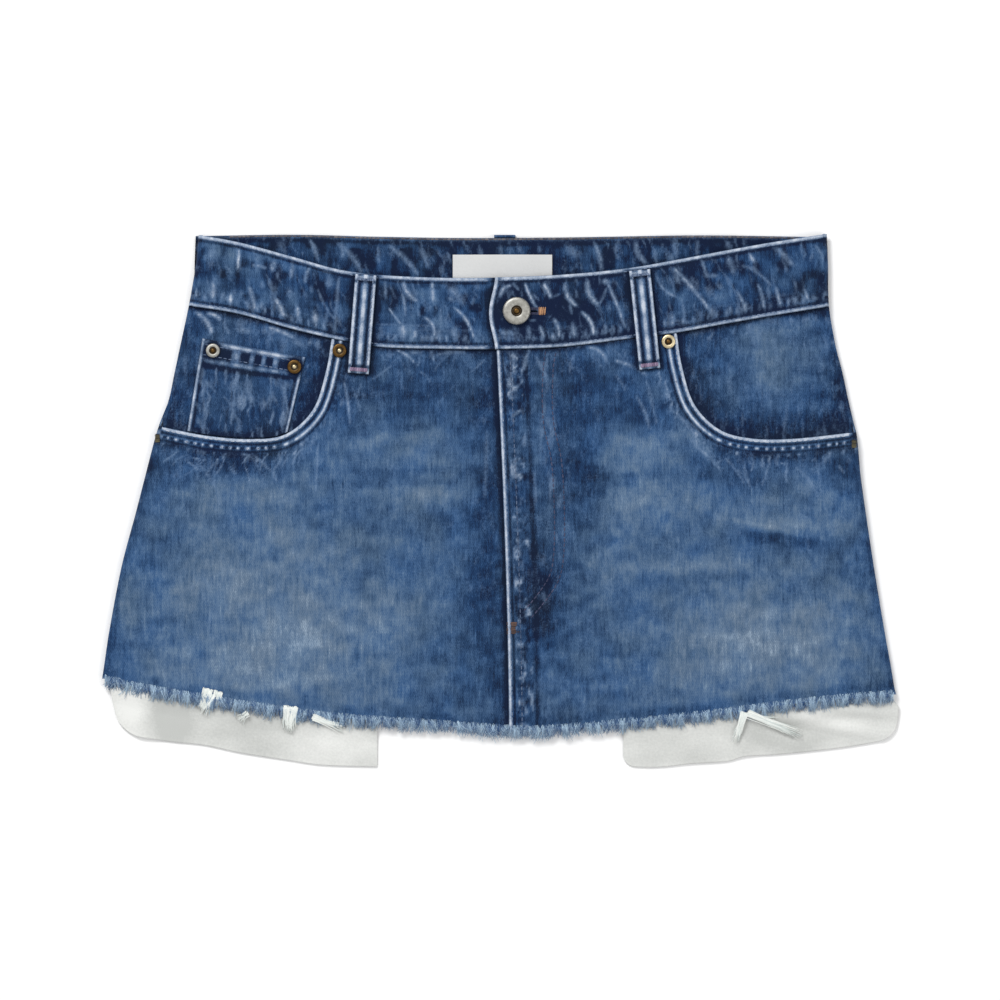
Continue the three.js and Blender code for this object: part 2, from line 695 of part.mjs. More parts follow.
// Frayed ends along a hem: a narrow strip beside the cut edge, with a tapering tuft on each cell
function fringe({ fromX, toX, count, edgeY, stripZ, tipZ, length }) {
  const strip = { depth: 1.2, height: 0.8 };
  const tipShare = 0.5;
  const points = [];
  const faces = [];
  const add = (x, y, z) => points.push(x, y, z) / 3 - 1;
  const quad = (a, b, c, d) => faces.push(a, b, c, a, c, d);
  const xAt = (cell) => lerp(fromX, toX, cell / count);
  const rings = steps(count).map((share) => {
    const x = lerp(fromX, toX, share);
    const y = edgeY(x) - SEAM_GAP;
    const z = stripZ(x);
    const [cut, root, top] = [y, y - strip.depth, z + strip.height];
    return [add(x, cut, z), add(x, root, z), add(x, root, top), add(x, cut, top)];
  });
  rings.slice(1).forEach((next, cell) => {
    const ring = rings[cell];
    for (const [a, b] of [[0, 1], [2, 3], [3, 0]]) quad(ring[a], next[a], next[b], ring[b]);
    // Each tuft has its own reach and sideways lean, from a fixed pattern
    const reach = length * (0.8 + 0.24 * Math.sin(cell * 2.4) * Math.cos(cell * 0.7));
    const tipX = (xAt(cell) + xAt(cell + 1)) / 2 + 1.1 * Math.sin(cell * 1.9 + 0.6);
    const tipY = edgeY(tipX) - SEAM_GAP - strip.depth - reach;
    const halfTip = ((xAt(cell + 1) - xAt(cell)) / 2) * tipShare;
    const root = [ring[1], next[1], next[2], ring[2]];
    const tip = root.map((_, k) => {
      const x = tipX + (k === 0 || k === 3 ? -halfTip : halfTip);
      return add(x, tipY, tipZ(tipX) + (k > 1 ? strip.height * tipShare : 0));
    });
    root.forEach((_, k) => quad(root[k], root[(k + 1) % 4], tip[(k + 1) % 4], tip[k]));
    quad(...tip);
  });
  quad(...rings[0]);
  quad(...rings[count].reverse());
  return facingOut(points, faces);
}

const FRINGE_LENGTH = 5.2;
const frontHemLevel = (x) => (x < flyX(-140) ? LEVEL.rightPanel : LEVEL.leftPanel)(x, hemY(x));
// At the centre the strip keeps to one level, as the two fronts lap there
const frontStripZ = (x) => lerp(frontHemLevel(x), LEVEL.leftPanel(12, hemY(12)), hump(x - 4, 20)) - 1;

function frontFringe() {
  return fringe({
    fromX: sideX("right", -114) + 4,
    toX: sideX("left", -121) - 4,
    count: 140,
    edgeY: hemY,
    stripZ: frontStripZ,
    tipZ: (x) => Math.max(frontStripZ(x) - 0.5, BAG_LEVEL + BAG + LAYER_GAP),
    length: FRINGE_LENGTH,
  });
}

function backFringe() {
  return fringe({
    fromX: sideX("right", -114) + 4,
    toX: sideX("left", -121) - 4,
    count: 100,
    edgeY: (x) => hemY(x) + BACK_HEM_SHORTER,
    stripZ: () => 0.2,
    tipZ: () => 0.2,
    length: FRINGE_LENGTH,
  });
}

// A closed geometry as a solid for cutting, and back
function toSolid(geometry) {
  const bare = geometry.clone();
  bare.deleteAttribute("normal");
  bare.deleteAttribute("uv");
  const merged = mergeVertices(bare, 1e-4);
  return new wasm.Manifold(
    new wasm.Mesh({
      numProp: 3,
      vertProperties: new Float32Array(merged.attributes.position.array),
      triVerts: new Uint32Array(merged.index.array),
    }),
  );
}

function toGeometry(solid) {
  const mesh = solid.getMesh();
  const geometry = new THREE.BufferGeometry();
  geometry.setAttribute("position", new THREE.BufferAttribute(mesh.vertProperties, 3));
  geometry.setIndex(new THREE.BufferAttribute(mesh.triVerts, 1));
  return geometry;
}

// The keyhole buttonhole: an eye round the shank and a slit towards the wearer's left
function buttonholeCutter() {
  const { length, halfWidth, eyeRadius } = BUTTONHOLE;
  const meet = Math.asin(halfWidth / eyeRadius);
  const outline = new THREE.Shape();
  outline.absarc(0, 0, eyeRadius, meet, 2 * Math.PI - meet, false);
  outline.lineTo(length, -halfWidth);
  outline.lineTo(length, halfWidth);
  outline.closePath();
  const depth = 20;
  return new THREE.ExtrudeGeometry(outline, { depth, bevelEnabled: false, curveSegments: 16 }).translate(
    BUTTON.x,
    BUTTON.y,
    0,
  );
}

function leftBandWithButtonhole() {
  const lapEnd = (y) => FRONT_LAP_X - FRONT_LAP_BULGE * hump(y - 116, 24);
  const band = frontBand("left", LEVEL.leftBand, lapEnd);
  return toGeometry(toSolid(band).subtract(toSolid(buttonholeCutter())));
}

const denim = new THREE.MeshStandardMaterial({ color: 0x44658c, roughness: 0.9 });
const darkDenim = new THREE.MeshStandardMaterial({ color: 0x39577d, roughness: 0.9 });
const cotton = new THREE.MeshStandardMaterial({ color: 0xe4e4df, roughness: 0.95 });
const frayed = new THREE.MeshStandardMaterial({ color: 0x8fb0cc, roughness: 1 });
const nickel = new THREE.MeshStandardMaterial({ color: 0xcfc9bb, roughness: 0.4, metalness: 0.9 });
const brass = new THREE.MeshStandardMaterial({ color: 0xa9803f, roughness: 0.4, metalness: 0.9 });

const skirt = new THREE.Group();

function piece(name, geometry, material) {
  const mesh = new THREE.Mesh(geometry, material);
  mesh.name = name;
  skirt.add(mesh);
}

piece("front_panel_right", frontPanel("right", LEVEL.rightPanel, (y) => flyX(y) + FLY_UNDERLAP), denim);
piece("front_panel_left", frontPanel("left", LEVEL.leftPanel, flyX), denim);
piece("waistband_front_right", frontBand("right", LEVEL.rightBand, () => BAND_UNDERLAP_X), denim);
piece("waistband_front_left", leftBandWithButtonhole(), denim);
piece("waistband_back", backBand(), darkDenim);
piece("coin_pocket", coinPocket(), darkDenim);
piece("fly_zip", flyZip(), darkDenim);
piece("label", label(), cotton);
piece("button", button(), nickel);
piece("fringe_front", frontFringe(), frayed);
piece("fringe_back", backFringe(), frayed);
for (const side of ["right", "left"]) {
  piece(`back_panel_${side}`, backPanel(side), denim);
  piece(`pocket_facing_${side}`, pocketFacing(side), darkDenim);
  piece(`pocket_bag_${side}`, pocketBag(side), cotton);
  piece(`belt_loop_front_${side}`, frontLoop(side), denim);
}
for (const [place, loop] of Object.entries(BACK_LOOPS)) {
  piece(`belt_loop_back_${place}`, backLoop(loop), denim);
}
for (const [name, seat] of Object.entries(RIVETS)) {
  piece(name, rivet(seat), name === "rivet_coin_outer" ? nickel : brass);
}

// The origin is under the middle of the skirt's box, where it rests
const middle = new THREE.Box3().setFromObject(skirt).getCenter(new THREE.Vector3());
skirt.position.set(-middle.x, -middle.y, 0);

export default skirt;
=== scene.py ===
"""Dresses a laid-out denim mini skirt: cloth with its wear and sewing, pocket bags, fringe and metal.
Lengths in the tables are millimetres on the skirt; meshes are in metres in the row's frame.
"right" and "left" are the wearer's, so the right pieces are at the picture's left."""

import math

import bpy
import numpy as np
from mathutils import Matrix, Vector


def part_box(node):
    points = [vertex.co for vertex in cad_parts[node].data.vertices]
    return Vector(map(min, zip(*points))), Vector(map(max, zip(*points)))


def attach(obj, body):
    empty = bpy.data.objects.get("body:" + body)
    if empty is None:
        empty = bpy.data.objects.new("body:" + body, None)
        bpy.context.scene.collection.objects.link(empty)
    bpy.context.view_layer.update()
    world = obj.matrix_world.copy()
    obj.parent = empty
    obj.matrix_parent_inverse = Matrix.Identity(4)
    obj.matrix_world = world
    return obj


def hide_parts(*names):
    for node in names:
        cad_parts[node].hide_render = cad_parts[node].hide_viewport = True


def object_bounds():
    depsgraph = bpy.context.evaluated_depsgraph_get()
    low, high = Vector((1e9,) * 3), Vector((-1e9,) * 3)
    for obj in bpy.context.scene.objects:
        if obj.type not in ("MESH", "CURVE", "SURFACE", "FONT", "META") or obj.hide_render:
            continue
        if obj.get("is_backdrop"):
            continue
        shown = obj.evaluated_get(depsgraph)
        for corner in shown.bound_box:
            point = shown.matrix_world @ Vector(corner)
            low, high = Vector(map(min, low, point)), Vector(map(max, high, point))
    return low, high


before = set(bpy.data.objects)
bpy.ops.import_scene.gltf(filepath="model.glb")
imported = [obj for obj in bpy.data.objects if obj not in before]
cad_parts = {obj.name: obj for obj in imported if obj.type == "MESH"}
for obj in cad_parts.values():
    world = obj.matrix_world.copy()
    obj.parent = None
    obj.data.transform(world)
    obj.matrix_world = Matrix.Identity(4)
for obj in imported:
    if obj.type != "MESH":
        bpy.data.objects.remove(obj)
cad_box = [list(corner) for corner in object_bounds()]

# Cloth thicknesses and clearances
DENIM = 1.2
BAND = 2.2
BAG = 1.0
LABEL = 1.0
COIN = 1.0
LOOP = 1.6
FLAT_LOOP = 1.0
ZIP = 1.0
SEAM_GAP = 0.3
LAYER_GAP = 0.4

# Heights of outer faces above the surface, where the layers lie flat
UNDER_LAP_Z = 4.4
PANEL_Z = 6.2
FACING_Z = 4.6
BAND_Z = 6.9
BAND_LAP_Z = 8.8

# Shape of the skirt
FOLD_RADIUS = 3.0
FOLD_SEAM_Z = 3.2
FOLD_STEPS = 7
BAND_HEIGHT = 43.0
BAND_MIDDLE_Y = 143.0
LOOP_WIDTH = 13.2
LOOP_LENGTH = 61.2
FLY_UNDERLAP = 12.0
ZIP_WIDTH = 22.0
FLY_TOP_Y = 94.0
FLY_FOOT_Y = -140.0
TACK_Y = -78.0
COIN_WIDTH = 64.0
COIN_HEIGHT = 48.0
FACING_BOTTOM_Y = 16.0
FACING_INNER_MARGIN = 18.0
FRONT_LAP_X = -3.0
FRONT_LAP_BULGE = 3.8
BAND_UNDERLAP_X = 22.0
BACK_MIDDLE_X = 3.0
BACK_HEM_SHORTER = 2.5
BUTTON = (10.3, 117.4)
PIXEL = 0.62
PHOTO_MIDDLE = (500, 501)
INWARD = {"right": 1, "left": -1}


def table(columns, *rows):
    """Rows of numbers as one array for each named column."""
    return dict(zip(columns.split(), np.array(rows, float).T))


SIDE = table(
    "y right left", (164.6, -187, 202.9), (147, -188.7, 203.6), (121, -193.1, 204.2), (96, -198.4, 208.3),
    (80, -201.8, 212.4), (62, -205.7, 216.3), (50, -210.4, 219.1), (40, -213.7, 221.5), (15, -220.2, 223.9),
    (-8, -226.1, 227.1), (-40, -234.6, 231.9), (-80, -242.3, 238.5), (-104, -245.9, 242.8),
    (-117, -247.9, 245), (-127, -249, 248)
)
FRONT_BAND = table(
    "x top seam", (-193.4, 165.6, 120.9), (-163, 160.4, 115.9), (-128, 151, 106.1), (-100, 143.3, 99.6),
    (-75, 140, 95.2), (-35, 138.2, 94), (0, 138.3, 93.8), (38, 140, 95.2), (77, 143.8, 99.9),
    (108, 149, 103.8), (142, 155.4, 109.9), (170, 160.4, 114.8), (204.4, 165.6, 120.4)
)
BACK_TOP = table(
    "x y", (-193, 164.2), (-129, 165), (-79, 163.9), (-20, 163), (40, 163.4), (124, 164.6), (204, 163.6)
)
HEM = table(
    "x y", (-249, -110), (-226, -115.5), (-186, -122.5), (-139, -129.8), (-100, -134.8), (-60, -137.6),
    (-20, -140.4), (8, -142.4), (30, -142.2), (60, -139.8), (100, -136), (140, -131.6), (180, -126.4),
    (215, -122.8), (247, -120.2)
)
MOUTH = {
    "right": (
        (-104.5, 99.9), (-108, 80), (-116, 56.5), (-133, 41.2), (-155, 38.2), (-182, 40.3), (-208, 45.4)
    ), "left": ((109.8, 103.4), (112.8, 84), (120.5, 60), (136, 44.2), (156, 38.6), (182, 38.4), (216, 42))
}
MOUTH_SIDE_Y = {"right": 46.2, "left": 42.4}
FRONT_LOOPS = {"right": (-83.0, -4.8, -0.8), "left": (86.5, 6.4, -2.4)}
BACK_LOOPS = {"right": (-118.0, -0.6), "centre": (3.0, 1.9), "left": (124.0, -0.6)}
LOOP_PRINT = {"flat": 8.6, "fade": 42.0, "from": 70.0, "to": 101.0}
BAGS = {
    "right": {
        "inner_x": -76.0, "outer_radius": 13.0, "inner_radius": 1.5,
        "outer": table("y x", (-100, -241), (-118, -241.6), (-135, -238.2), (-148, -235)),
        "bottom": table(
            "x y", (-241, -144.6), (-226, -146.8), (-206, -149.8), (-186, -151.8), (-163, -156.6),
            (-133, -161.2), (-112, -164.2), (-76, -165.3)
        )
    },
    "left": {
        "inner_x": 76.6, "outer_radius": 9.0, "inner_radius": 7.0,
        "outer": table(
            "y x", (-100, 237), (-119, 240.4), (-127, 247), (-133, 247.4), (-141, 246.3), (-150, 244.5)
        ),
        "bottom": table(
            "x y", (76.6, -165), (97, -165.6), (121, -163.3), (143, -161.8), (153, -158.9), (171, -157.9),
            (203, -154.8), (225, -151.8), (247, -147.6)
        )
    }
}
SOFT_START = 26.0
BAG_SIDE_MARGIN = 5.5
BAG_TOP_Y = 92.0
BAG_WIDTH_Y = -140.0
BAG_SETTLE = (3.0, 15.0)
# Soft folds: x, y, half length, half width, rise, lean in degrees
SOFT_FOLDS = (
    (-168, -62, 62, 20, 1.5, 9), (-92, -40, 85, 26, 1.7, 4), (-36, 22, 52, 17, 0.9, -24),
    (66, -30, 80, 24, 1.3, -3), (128, -70, 55, 19, 1.6, -8), (192, -60, 58, 16, 1.7, -11),
    (165, 76, 30, 24, 0.8, 62), (-160, 74, 30, 24, 0.7, -58)
)
COIN_POCKET = {"outer": (-184.6, 100.6, -194.0), "inner": (-120.6, 88.8, -131.5)}
LABEL_SIZE = {"from_x": -29.3, "to_x": 32.4, "top": 152.6, "bottom": 130.6}
RIVETS = {
    "rivet_coin_outer": (-177.9, 93.0), "rivet_coin_inner": (-127.4, 83.0),
    "rivet_mouth_right": (-99.4, 93.0), "rivet_mouth_left": (104.4, 98.6)
}

# Patches that the wash left lighter or darker, the last eight the unworn places under the band and beside
# the fly: x, y, half width, half height, lean in degrees, amount
FADES = (
    (-158, -92, 66, 42, -8, 0.5), (-104, -88, 48, 48, 0, 0.3), (-158, 6, 28, 10, 0, 0.3),
    (-150, -40, 45, 26, 0, 0.34), (-59, 37, 53, 4.5, 4, 0.18), (-56, 27, 20, 5, 4, 0.12),
    (-44, 1, 36, 6, 2, 0.32), (-62, -27, 30, 8, 0, 0.22), (-70, -66, 38, 18, 3, 0.15),
    (-223, 0, 14, 56, 12, -0.18), (-174, 22, 38, 8, -4, -0.66), (-11, -37, 11, 80, 0, -0.45),
    (-37, -124, 38, 18, 0, -0.06), (-240, -86, 8, 34, 6, -0.22), (-93, 62, 9, 26, 0, -0.25),
    (87, 28, 30, 13, 0, 0.38), (104, -1, 52, 6.5, 0, 0.38), (118, -21, 66, 8, 0, 0.12),
    (172, -14, 42, 4.5, -6, 0.36), (170, -26, 38, 6.5, -8, -0.36), (118, -40, 46, 4.6, 1, 0.34),
    (133, -49, 36, 3.6, 3, -0.2), (182, -88, 58, 40, 0, 0.55), (124, -88, 42, 26, 0, 0.25),
    (25, -58, 14, 38, 0, -0.6), (27, -6, 10, 44, 0, -0.2), (56, 19, 14, 32, 0, -0.3),
    (62, -112, 40, 20, 0, -0.15), (231, -37, 8, 70, -6, -0.22), (88, 56, 16, 9, 0, -0.35),
    (203, 1, 25, 8, -25, 0.25), (150, 14, 18, 6, -8, -0.35), (177, -84, 4, 24, 0, -0.2),
    (-40, 72, 60, 24, 0, -0.42), (-88, 66, 26, 30, 0, -0.1), (50, 74, 44, 26, 0, -0.34),
    (46, 20, 16, 60, 0, -0.42), (-30, 46, 34, 12, 0, -0.1), (176, 24, 40, 6, 0, -0.28),
    (214, 14, 8, 13, 0, -0.36), (-214, 18, 12, 10, 0, -0.28)
)
# Lighter and darker patches on the pocket facings: x, y, half width, half height, lean in degrees, amount.
# The rows at y 46 and 47 are painted shadow along the mouth's lower edge
FACING_FADES_AND_SHADOW = (
    (167, 87, 28, 32, 0, 0.62), (126, 62, 10, 26, 18, -0.4), (212, 64, 9, 30, 0, -0.35),
    (176, 47, 44, 8, 0, -0.5), (-150, 108, 56, 5, 14, 0.2), (-117, 68, 8, 30, -10, -0.4),
    (-202, 74, 9, 34, 10, -0.25), (-160, 46, 44, 7, 0, -0.3)
)


def lerp(a, b, t):
    return a + (b - a) * t


def smoothstep(value, low, high):
    t = np.clip((value - low) / (high - low), 0, 1)
    return t * t * (3 - 2 * t)


def hump(offset, half):
    """A round-topped window: 1 at its middle, 0 from its half width outwards."""
    return 0.5 + 0.5 * np.cos(np.pi * np.minimum(np.abs(offset) / half, 1))


def bell(offset, half):
    return np.exp(-((offset / half) ** 2))


def wobble(way, period, phase=0.0):
    """An uneven wave from 0 to 1 along a line."""
    turn = 2 * np.pi / period
    mixed = np.sin(turn * way + phase) + 0.6 * np.sin(turn * 0.43 * way + 2 * phase + 1)
    return 0.5 + 0.31 * mixed


def lattice(x, y, seed):
    """Smooth uneven noise from 0 to 1, with features about 1 across."""
    values = np.random.default_rng(seed).random((64, 64))
    i, j = np.floor(x).astype(int), np.floor(y).astype(int)
    u, v = x - i, y - j
    u, v = u * u * (3 - 2 * u), v * v * (3 - 2 * v)
    low = lerp(values[i % 64, j % 64], values[(i + 1) % 64, j % 64], u)
    high = lerp(values[i % 64, (j + 1) % 64], values[(i + 1) % 64, (j + 1) % 64], u)
    return lerp(low, high, v)


def streaks(x, y, width, length, seed, low=0.5, high=0.85):
    """Soft uneven streaks from 0 to 1, of about that width and length."""
    drift = 1.6 * width * (lattice(x / (4 * width), y / (0.6 * length), seed + 1) - 0.5)
    noise = lattice((x + drift) / (1.15 * width), y / length, seed)
    fine = lattice((x + drift) / (0.5 * width), y / (0.35 * length), seed + 2)
    return smoothstep(0.74 * noise + 0.26 * fine, low, high)


def along(rows, at, of, value):
    """A smooth curve through a table: column of where column at has the value given."""
    order = np.argsort(rows[at])
    a, b = rows[at][order], rows[of][order]
    last = len(a) - 1
    i = np.clip(np.searchsorted(a, value) - 1, 0, last - 1)
    before, after = np.maximum(i - 1, 0), np.minimum(i + 2, last)
    span = a[i + 1] - a[i]
    t = np.clip((value - a[i]) / span, -0.2, 1.2)
    start = (b[i + 1] - b[before]) / (a[i + 1] - a[before]) * span
    end = (b[after] - b[i]) / (a[after] - a[i]) * span
    bend = start * (t**3 - 2 * t**2 + t) + end * (t**3 - t**2)
    return b[i] * (2 * t**3 - 3 * t**2 + 1) + b[i + 1] * (3 * t**2 - 2 * t**3) + bend


def spline(points, t):
    """A smooth curve through points, t from 0 to 1 over their numbers."""
    p = np.asarray(points, float)
    last = len(p) - 1
    place = np.clip(np.asarray(t, float) * last, 0, last)
    i = np.minimum(place.astype(int), last - 1)
    w = (place - i)[..., None]
    p1, p2 = p[i], p[i + 1]
    v1 = (p2 - p[np.maximum(i - 1, 0)]) / 2
    v2 = (p[np.minimum(i + 2, last)] - p1) / 2
    return (2 * p1 - 2 * p2 + v1 + v2) * w**3 + (3 * p2 - 3 * p1 - 2 * v1 - v2) * w**2 + v1 * w + p1


def curve(rows, at, of):
    return lambda value: along(rows, at, of, value)


band_top, band_seam = curve(FRONT_BAND, "x", "top"), curve(FRONT_BAND, "x", "seam")
hem_y, back_top = curve(HEM, "x", "y"), curve(BACK_TOP, "x", "y")


def side_x(side, y):
    return along(SIDE, "y", side, y)


def back_hem_y(x):
    return hem_y(x) + BACK_HEM_SHORTER


def back_seam(x):
    return back_top(x) - BAND_HEIGHT


def fly_x(y):
    return 5.6 - 7.8 * np.clip((y + 145) / 240, 0, 2) ** 1.6


def side_distance(x, y):
    return np.minimum(x - side_x("right", y), side_x("left", y) - x)


def loop_rise(x, y):
    """Every layer rises over the back's loops, which lie between it and the surface."""
    high = smoothstep(y, LOOP_PRINT["from"], LOOP_PRINT["to"])
    offset = np.min([np.abs(x - loop[0]) for loop in BACK_LOOPS.values()], axis=0)
    return (FLAT_LOOP + LAYER_GAP) * high * (1 - smoothstep(offset, LOOP_PRINT["flat"], LOOP_PRINT["fade"]))


def leaning(x, y, centre_x, centre_y, lean):
    """Offsets across and along a mark that leans from upright by some degrees."""
    angle = math.radians(lean)
    dx, dy = x - centre_x, y - centre_y
    return dx * math.cos(angle) + dy * math.sin(angle), dy * math.cos(angle) - dx * math.sin(angle)


def ridges(x, y, rows, stretch, rise=0):
    """Soft folds in millimetres: each row is a place, half length, half width, rise and lean."""
    for centre_x, centre_y, length, width, height, lean in rows:
        across, lengthwise = leaning(x, y, centre_x, centre_y, lean)
        rise = rise + height * hump(across, width * 1.6) * hump(lengthwise, length * stretch)
    return rise


def soft_rise(x, y):
    return ridges(x, y, SOFT_FOLDS, 1.4) * smoothstep(side_distance(x, y), FOLD_RADIUS, SOFT_START)


def hem_drop(y):
    return 1.6 * (1 - smoothstep(y, -90, 10))


def front_rise(x, y):
    return loop_rise(x, y) + soft_rise(x, y)


def under_level(y):
    return UNDER_LAP_Z - hem_drop(y)


def right_panel_level(x, y):
    return lerp(PANEL_Z - hem_drop(y), under_level(y), smoothstep(x, -72, -12)) + front_rise(x, y)


def left_panel_level(x, y):
    zip_room = (ZIP + LAYER_GAP) * smoothstep(y, -115, TACK_Y)
    over = under_level(y) + zip_room + LAYER_GAP + DENIM
    return lerp(over, PANEL_Z - hem_drop(y), smoothstep(x, 30, 95)) + front_rise(x, y)


def zip_level(x, y):
    return under_level(y) + LAYER_GAP + ZIP + front_rise(x, y)


def facing_level(x, y):
    return FACING_Z + front_rise(x, y)


def coin_level(x, y):
    return FACING_Z + LAYER_GAP + COIN + front_rise(x, y)


def right_band_level(x, y):
    return lerp(BAND_Z, PANEL_Z, smoothstep(x, -64, -20)) + front_rise(x, y)


def left_band_level(x, y):
    return lerp(BAND_LAP_Z, BAND_Z, smoothstep(x, 24, 84)) + front_rise(x, y)


def label_level(x, y):
    return BAND + LAYER_GAP + LABEL + loop_rise(x, y)


PANEL_LEVEL = {"right": right_panel_level, "left": left_panel_level}
BAND_LEVEL = {"right": right_band_level, "left": left_band_level}


def path_distance(x, y, path):
    """Distance to a line of points, and how far along it the nearest place is."""
    best = np.full(np.shape(x), 1e9)
    way = np.zeros(np.shape(x))
    start = 0.0
    for (ax, ay), (bx, by) in zip(path[:-1], path[1:]):
        dx, dy = bx - ax, by - ay
        length = math.hypot(dx, dy)
        t = np.clip(((x - ax) * dx + (y - ay) * dy) / length**2, 0, 1)
        distance = np.hypot(x - ax - t * dx, y - ay - t * dy)
        nearer = distance < best
        best = np.where(nearer, distance, best)
        way = np.where(nearer, start + t * length, way)
        start += length
    return best, way


def mouth_path(side):
    return spline(MOUTH[side], np.linspace(0, 1, 61))


def offset_path(path, distance):
    """The line moved sideways, to the left of its own direction when distance is positive."""
    run = np.gradient(path, axis=0)
    run /= np.linalg.norm(run, axis=1)[:, None]
    return path + distance * np.stack([-run[:, 1], run[:, 0]], axis=1)


class Skin:
    """What a cloth's surface has at its points: relief in millimetres, and shares of its colour: fade for
    the wash's lighter and darker patches, which in places also carries painted shade and highlights, worn
    for wear, and dark for darker places, most of them painted shade in grooves and beside raised parts.
    """

    def __init__(self, x, y):
        self.x, self.y = x, y
        self.relief, self.fade, self.worn, self.dark = (np.zeros(np.shape(x)) for _ in range(4))

    def mark(self, shape, relief=0.0, fade=0.0, worn=0.0, dark=0.0):
        self.relief = self.relief + shape * relief
        self.fade = self.fade + shape * fade
        self.worn = np.maximum(self.worn, shape * worn)
        self.dark = np.maximum(self.dark, shape * dark)

    def line(self, offset, half, **amounts):
        """A soft mark where offset is near 0."""
        self.mark(bell(offset, half), **amounts)

    def clear(self, shape):
        self.worn = self.worn * (1 - shape)

    def rolled(self, distance, radius=0.7):
        """A folded edge, which rounds down towards the layer below."""
        inside = np.clip(radius - distance, 0, radius)
        self.relief = self.relief - (radius - np.sqrt(radius**2 - inside**2))

    def edge_line(self, distance, way, worn=0.9, width=1.0, groove=3.1, depth=0.35):
        """The worn light line on a folded edge, and the stitched groove beside it, darkened as painted
        shade.
        """
        self.rolled(distance)
        uneven = np.clip(0.8 + 0.3 * wobble(way, 13) * wobble(way, 5.1, 2), 0, 1)
        line = np.clip(1.25 * bell(distance - 0.95, width), 0, 1)
        covered = bell(distance - 0.95, width * 1.6)
        self.clear(covered)
        self.mark(line * uneven, worn=worn)
        self.mark(line, relief=0.28)
        self.line(distance - groove, 0.85, relief=-depth, dark=0.95)

    def puckers(self, distance, way, at, width, period, worn=0.7, relief=0.35, phase=0.0):
        """A row of worn bumps beside a row of stitches."""
        bump = np.clip(np.cos(2 * np.pi * (way / period + 0.18 * np.sin(way * 0.31 + phase)) + phase), 0, 1)
        size = 0.55 + 0.45 * wobble(way, period * 5.3, phase)
        row = bell(distance - at, width)
        self.mark(row * bump * size, relief=relief, worn=worn)
        self.mark(row * (1 - bump), dark=0.35)

    def fade_and_shade_patches(self, patches):
        for cx, cy, width, height, lean, amount in patches:
            across, upward = leaning(self.x, self.y, cx, cy, lean)
            self.mark(np.exp(-((across / width) ** 2 + (upward / height) ** 2)), fade=amount)

    def strokes(self, rows, relief=0.22):
        """Worn creases: each row is its two ends, its bow sideways, its width and its strength."""
        for x0, y0, x1, y1, bow, width, strength in rows:
            t = np.linspace(0, 1, 7 if bow else 2)
            length = math.hypot(x1 - x0, y1 - y0)
            aside = 4 * t * (1 - t) * bow / length
            px = lerp(x0, x1, t) - aside * (y1 - y0)
            py = lerp(y0, y1, t) + aside * (x1 - x0)
            reach = 2.4 * width
            near = (self.x > px.min() - reach) & (self.x < px.max() + reach)
            near &= (self.y > py.min() - reach) & (self.y < py.max() + reach)
            if not near.any():
                continue
            x, y = self.x[near], self.y[near]
            distance, way = path_distance(x, y, np.stack([px, py], axis=1))
            ragged = 0.75 + 0.5 * lattice(x / 1.1, y / 1.8, int(abs(x0)) % 60)
            ends = smoothstep(np.minimum(way, length - way) + width, 0, width * 1.7)
            shape = bell(distance, width * (0.7 + 0.3 * np.sin(np.pi * np.clip(way / length, 0, 1)))) * ends
            self.relief[near] += shape * relief * strength
            self.worn[near] = np.maximum(self.worn[near], np.clip(shape * strength * ragged, 0, 1))


def from_photo(rows):
    """Strokes read off the photograph, their ends and bow in its pixels, as ones on the skirt."""
    scale = (PIXEL, -PIXEL, PIXEL, -PIXEL, PIXEL, 1, 1)
    return (np.array(rows) - (*PHOTO_MIDDLE, *PHOTO_MIDDLE, 0, 0, 0)) * scale


def scattered(seed, count, x_range, y_at, heading, bow, length, width, strength):
    """Rows for strokes, spread over a stretch: each range is a low and a high value."""
    rng = np.random.default_rng(seed)
    pick = lambda pair: rng.uniform(pair[0], pair[1], count)
    x = lerp(x_range[0], x_range[1], (np.arange(count) + rng.uniform(0, 1, count)) / count)
    y = y_at(x, rng.uniform(0, 1, count))
    angle, size = pick(heading), pick(length)
    ends = (x + size * np.sin(angle), y - size * np.cos(angle))
    return np.stack([x, y, *ends, pick(bow), pick(width), pick(strength)], axis=1)


# Meshes

low_button, high_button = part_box("button")
SHIFT = ((low_button + high_button) / 2 * 1000 - Vector((*BUTTON, 0)))[:2]


def to_row(points):
    """Millimetres on the skirt to metres in the row's frame."""
    return (np.asarray(points, float) + (SHIFT[0], SHIFT[1], 0)) * 0.001


def build(name, points, faces, material, slot, node=None, colour_shares=None):
    """A piece of the object from points in millimetres on the skirt."""
    mesh = bpy.data.meshes.new(name)
    mesh.from_pydata(to_row(points).tolist(), [], [list(face) for face in faces])
    for key, values in (colour_shares or {}).items():
        attribute = mesh.attributes.new(key, "FLOAT", "POINT")
        attribute.data.foreach_set("value", np.asarray(values, np.float32).ravel())
    mesh.materials.append(material)
    mesh.polygons.foreach_set("use_smooth", [True] * len(mesh.polygons))
    mesh.update()
    piece = bpy.data.objects.new(name, mesh)
    bpy.context.scene.collection.objects.link(piece)
    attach(piece, "root")
    if node:
        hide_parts(node)
    return piece


def shares(length, step, fine_start=True, fine_end=True):
    """Shares of a way, closer together beside an edge. Their count is odd."""
    fine = np.cumsum((0, 0.3, 0.35, 0.4, 0.5, 0.6, 0.7))
    head = fine if fine_start else fine[:1]
    tail = length - (fine[::-1] if fine_end else fine[:1])
    count = max(2, round((tail[0] - head[-1]) / step))
    if (len(head) + len(tail) + count - 1) % 2 == 0:
        count += 1
    middle = np.linspace(head[-1], tail[0], count + 1)[1:-1]
    return np.concatenate([head, middle, tail]) / length


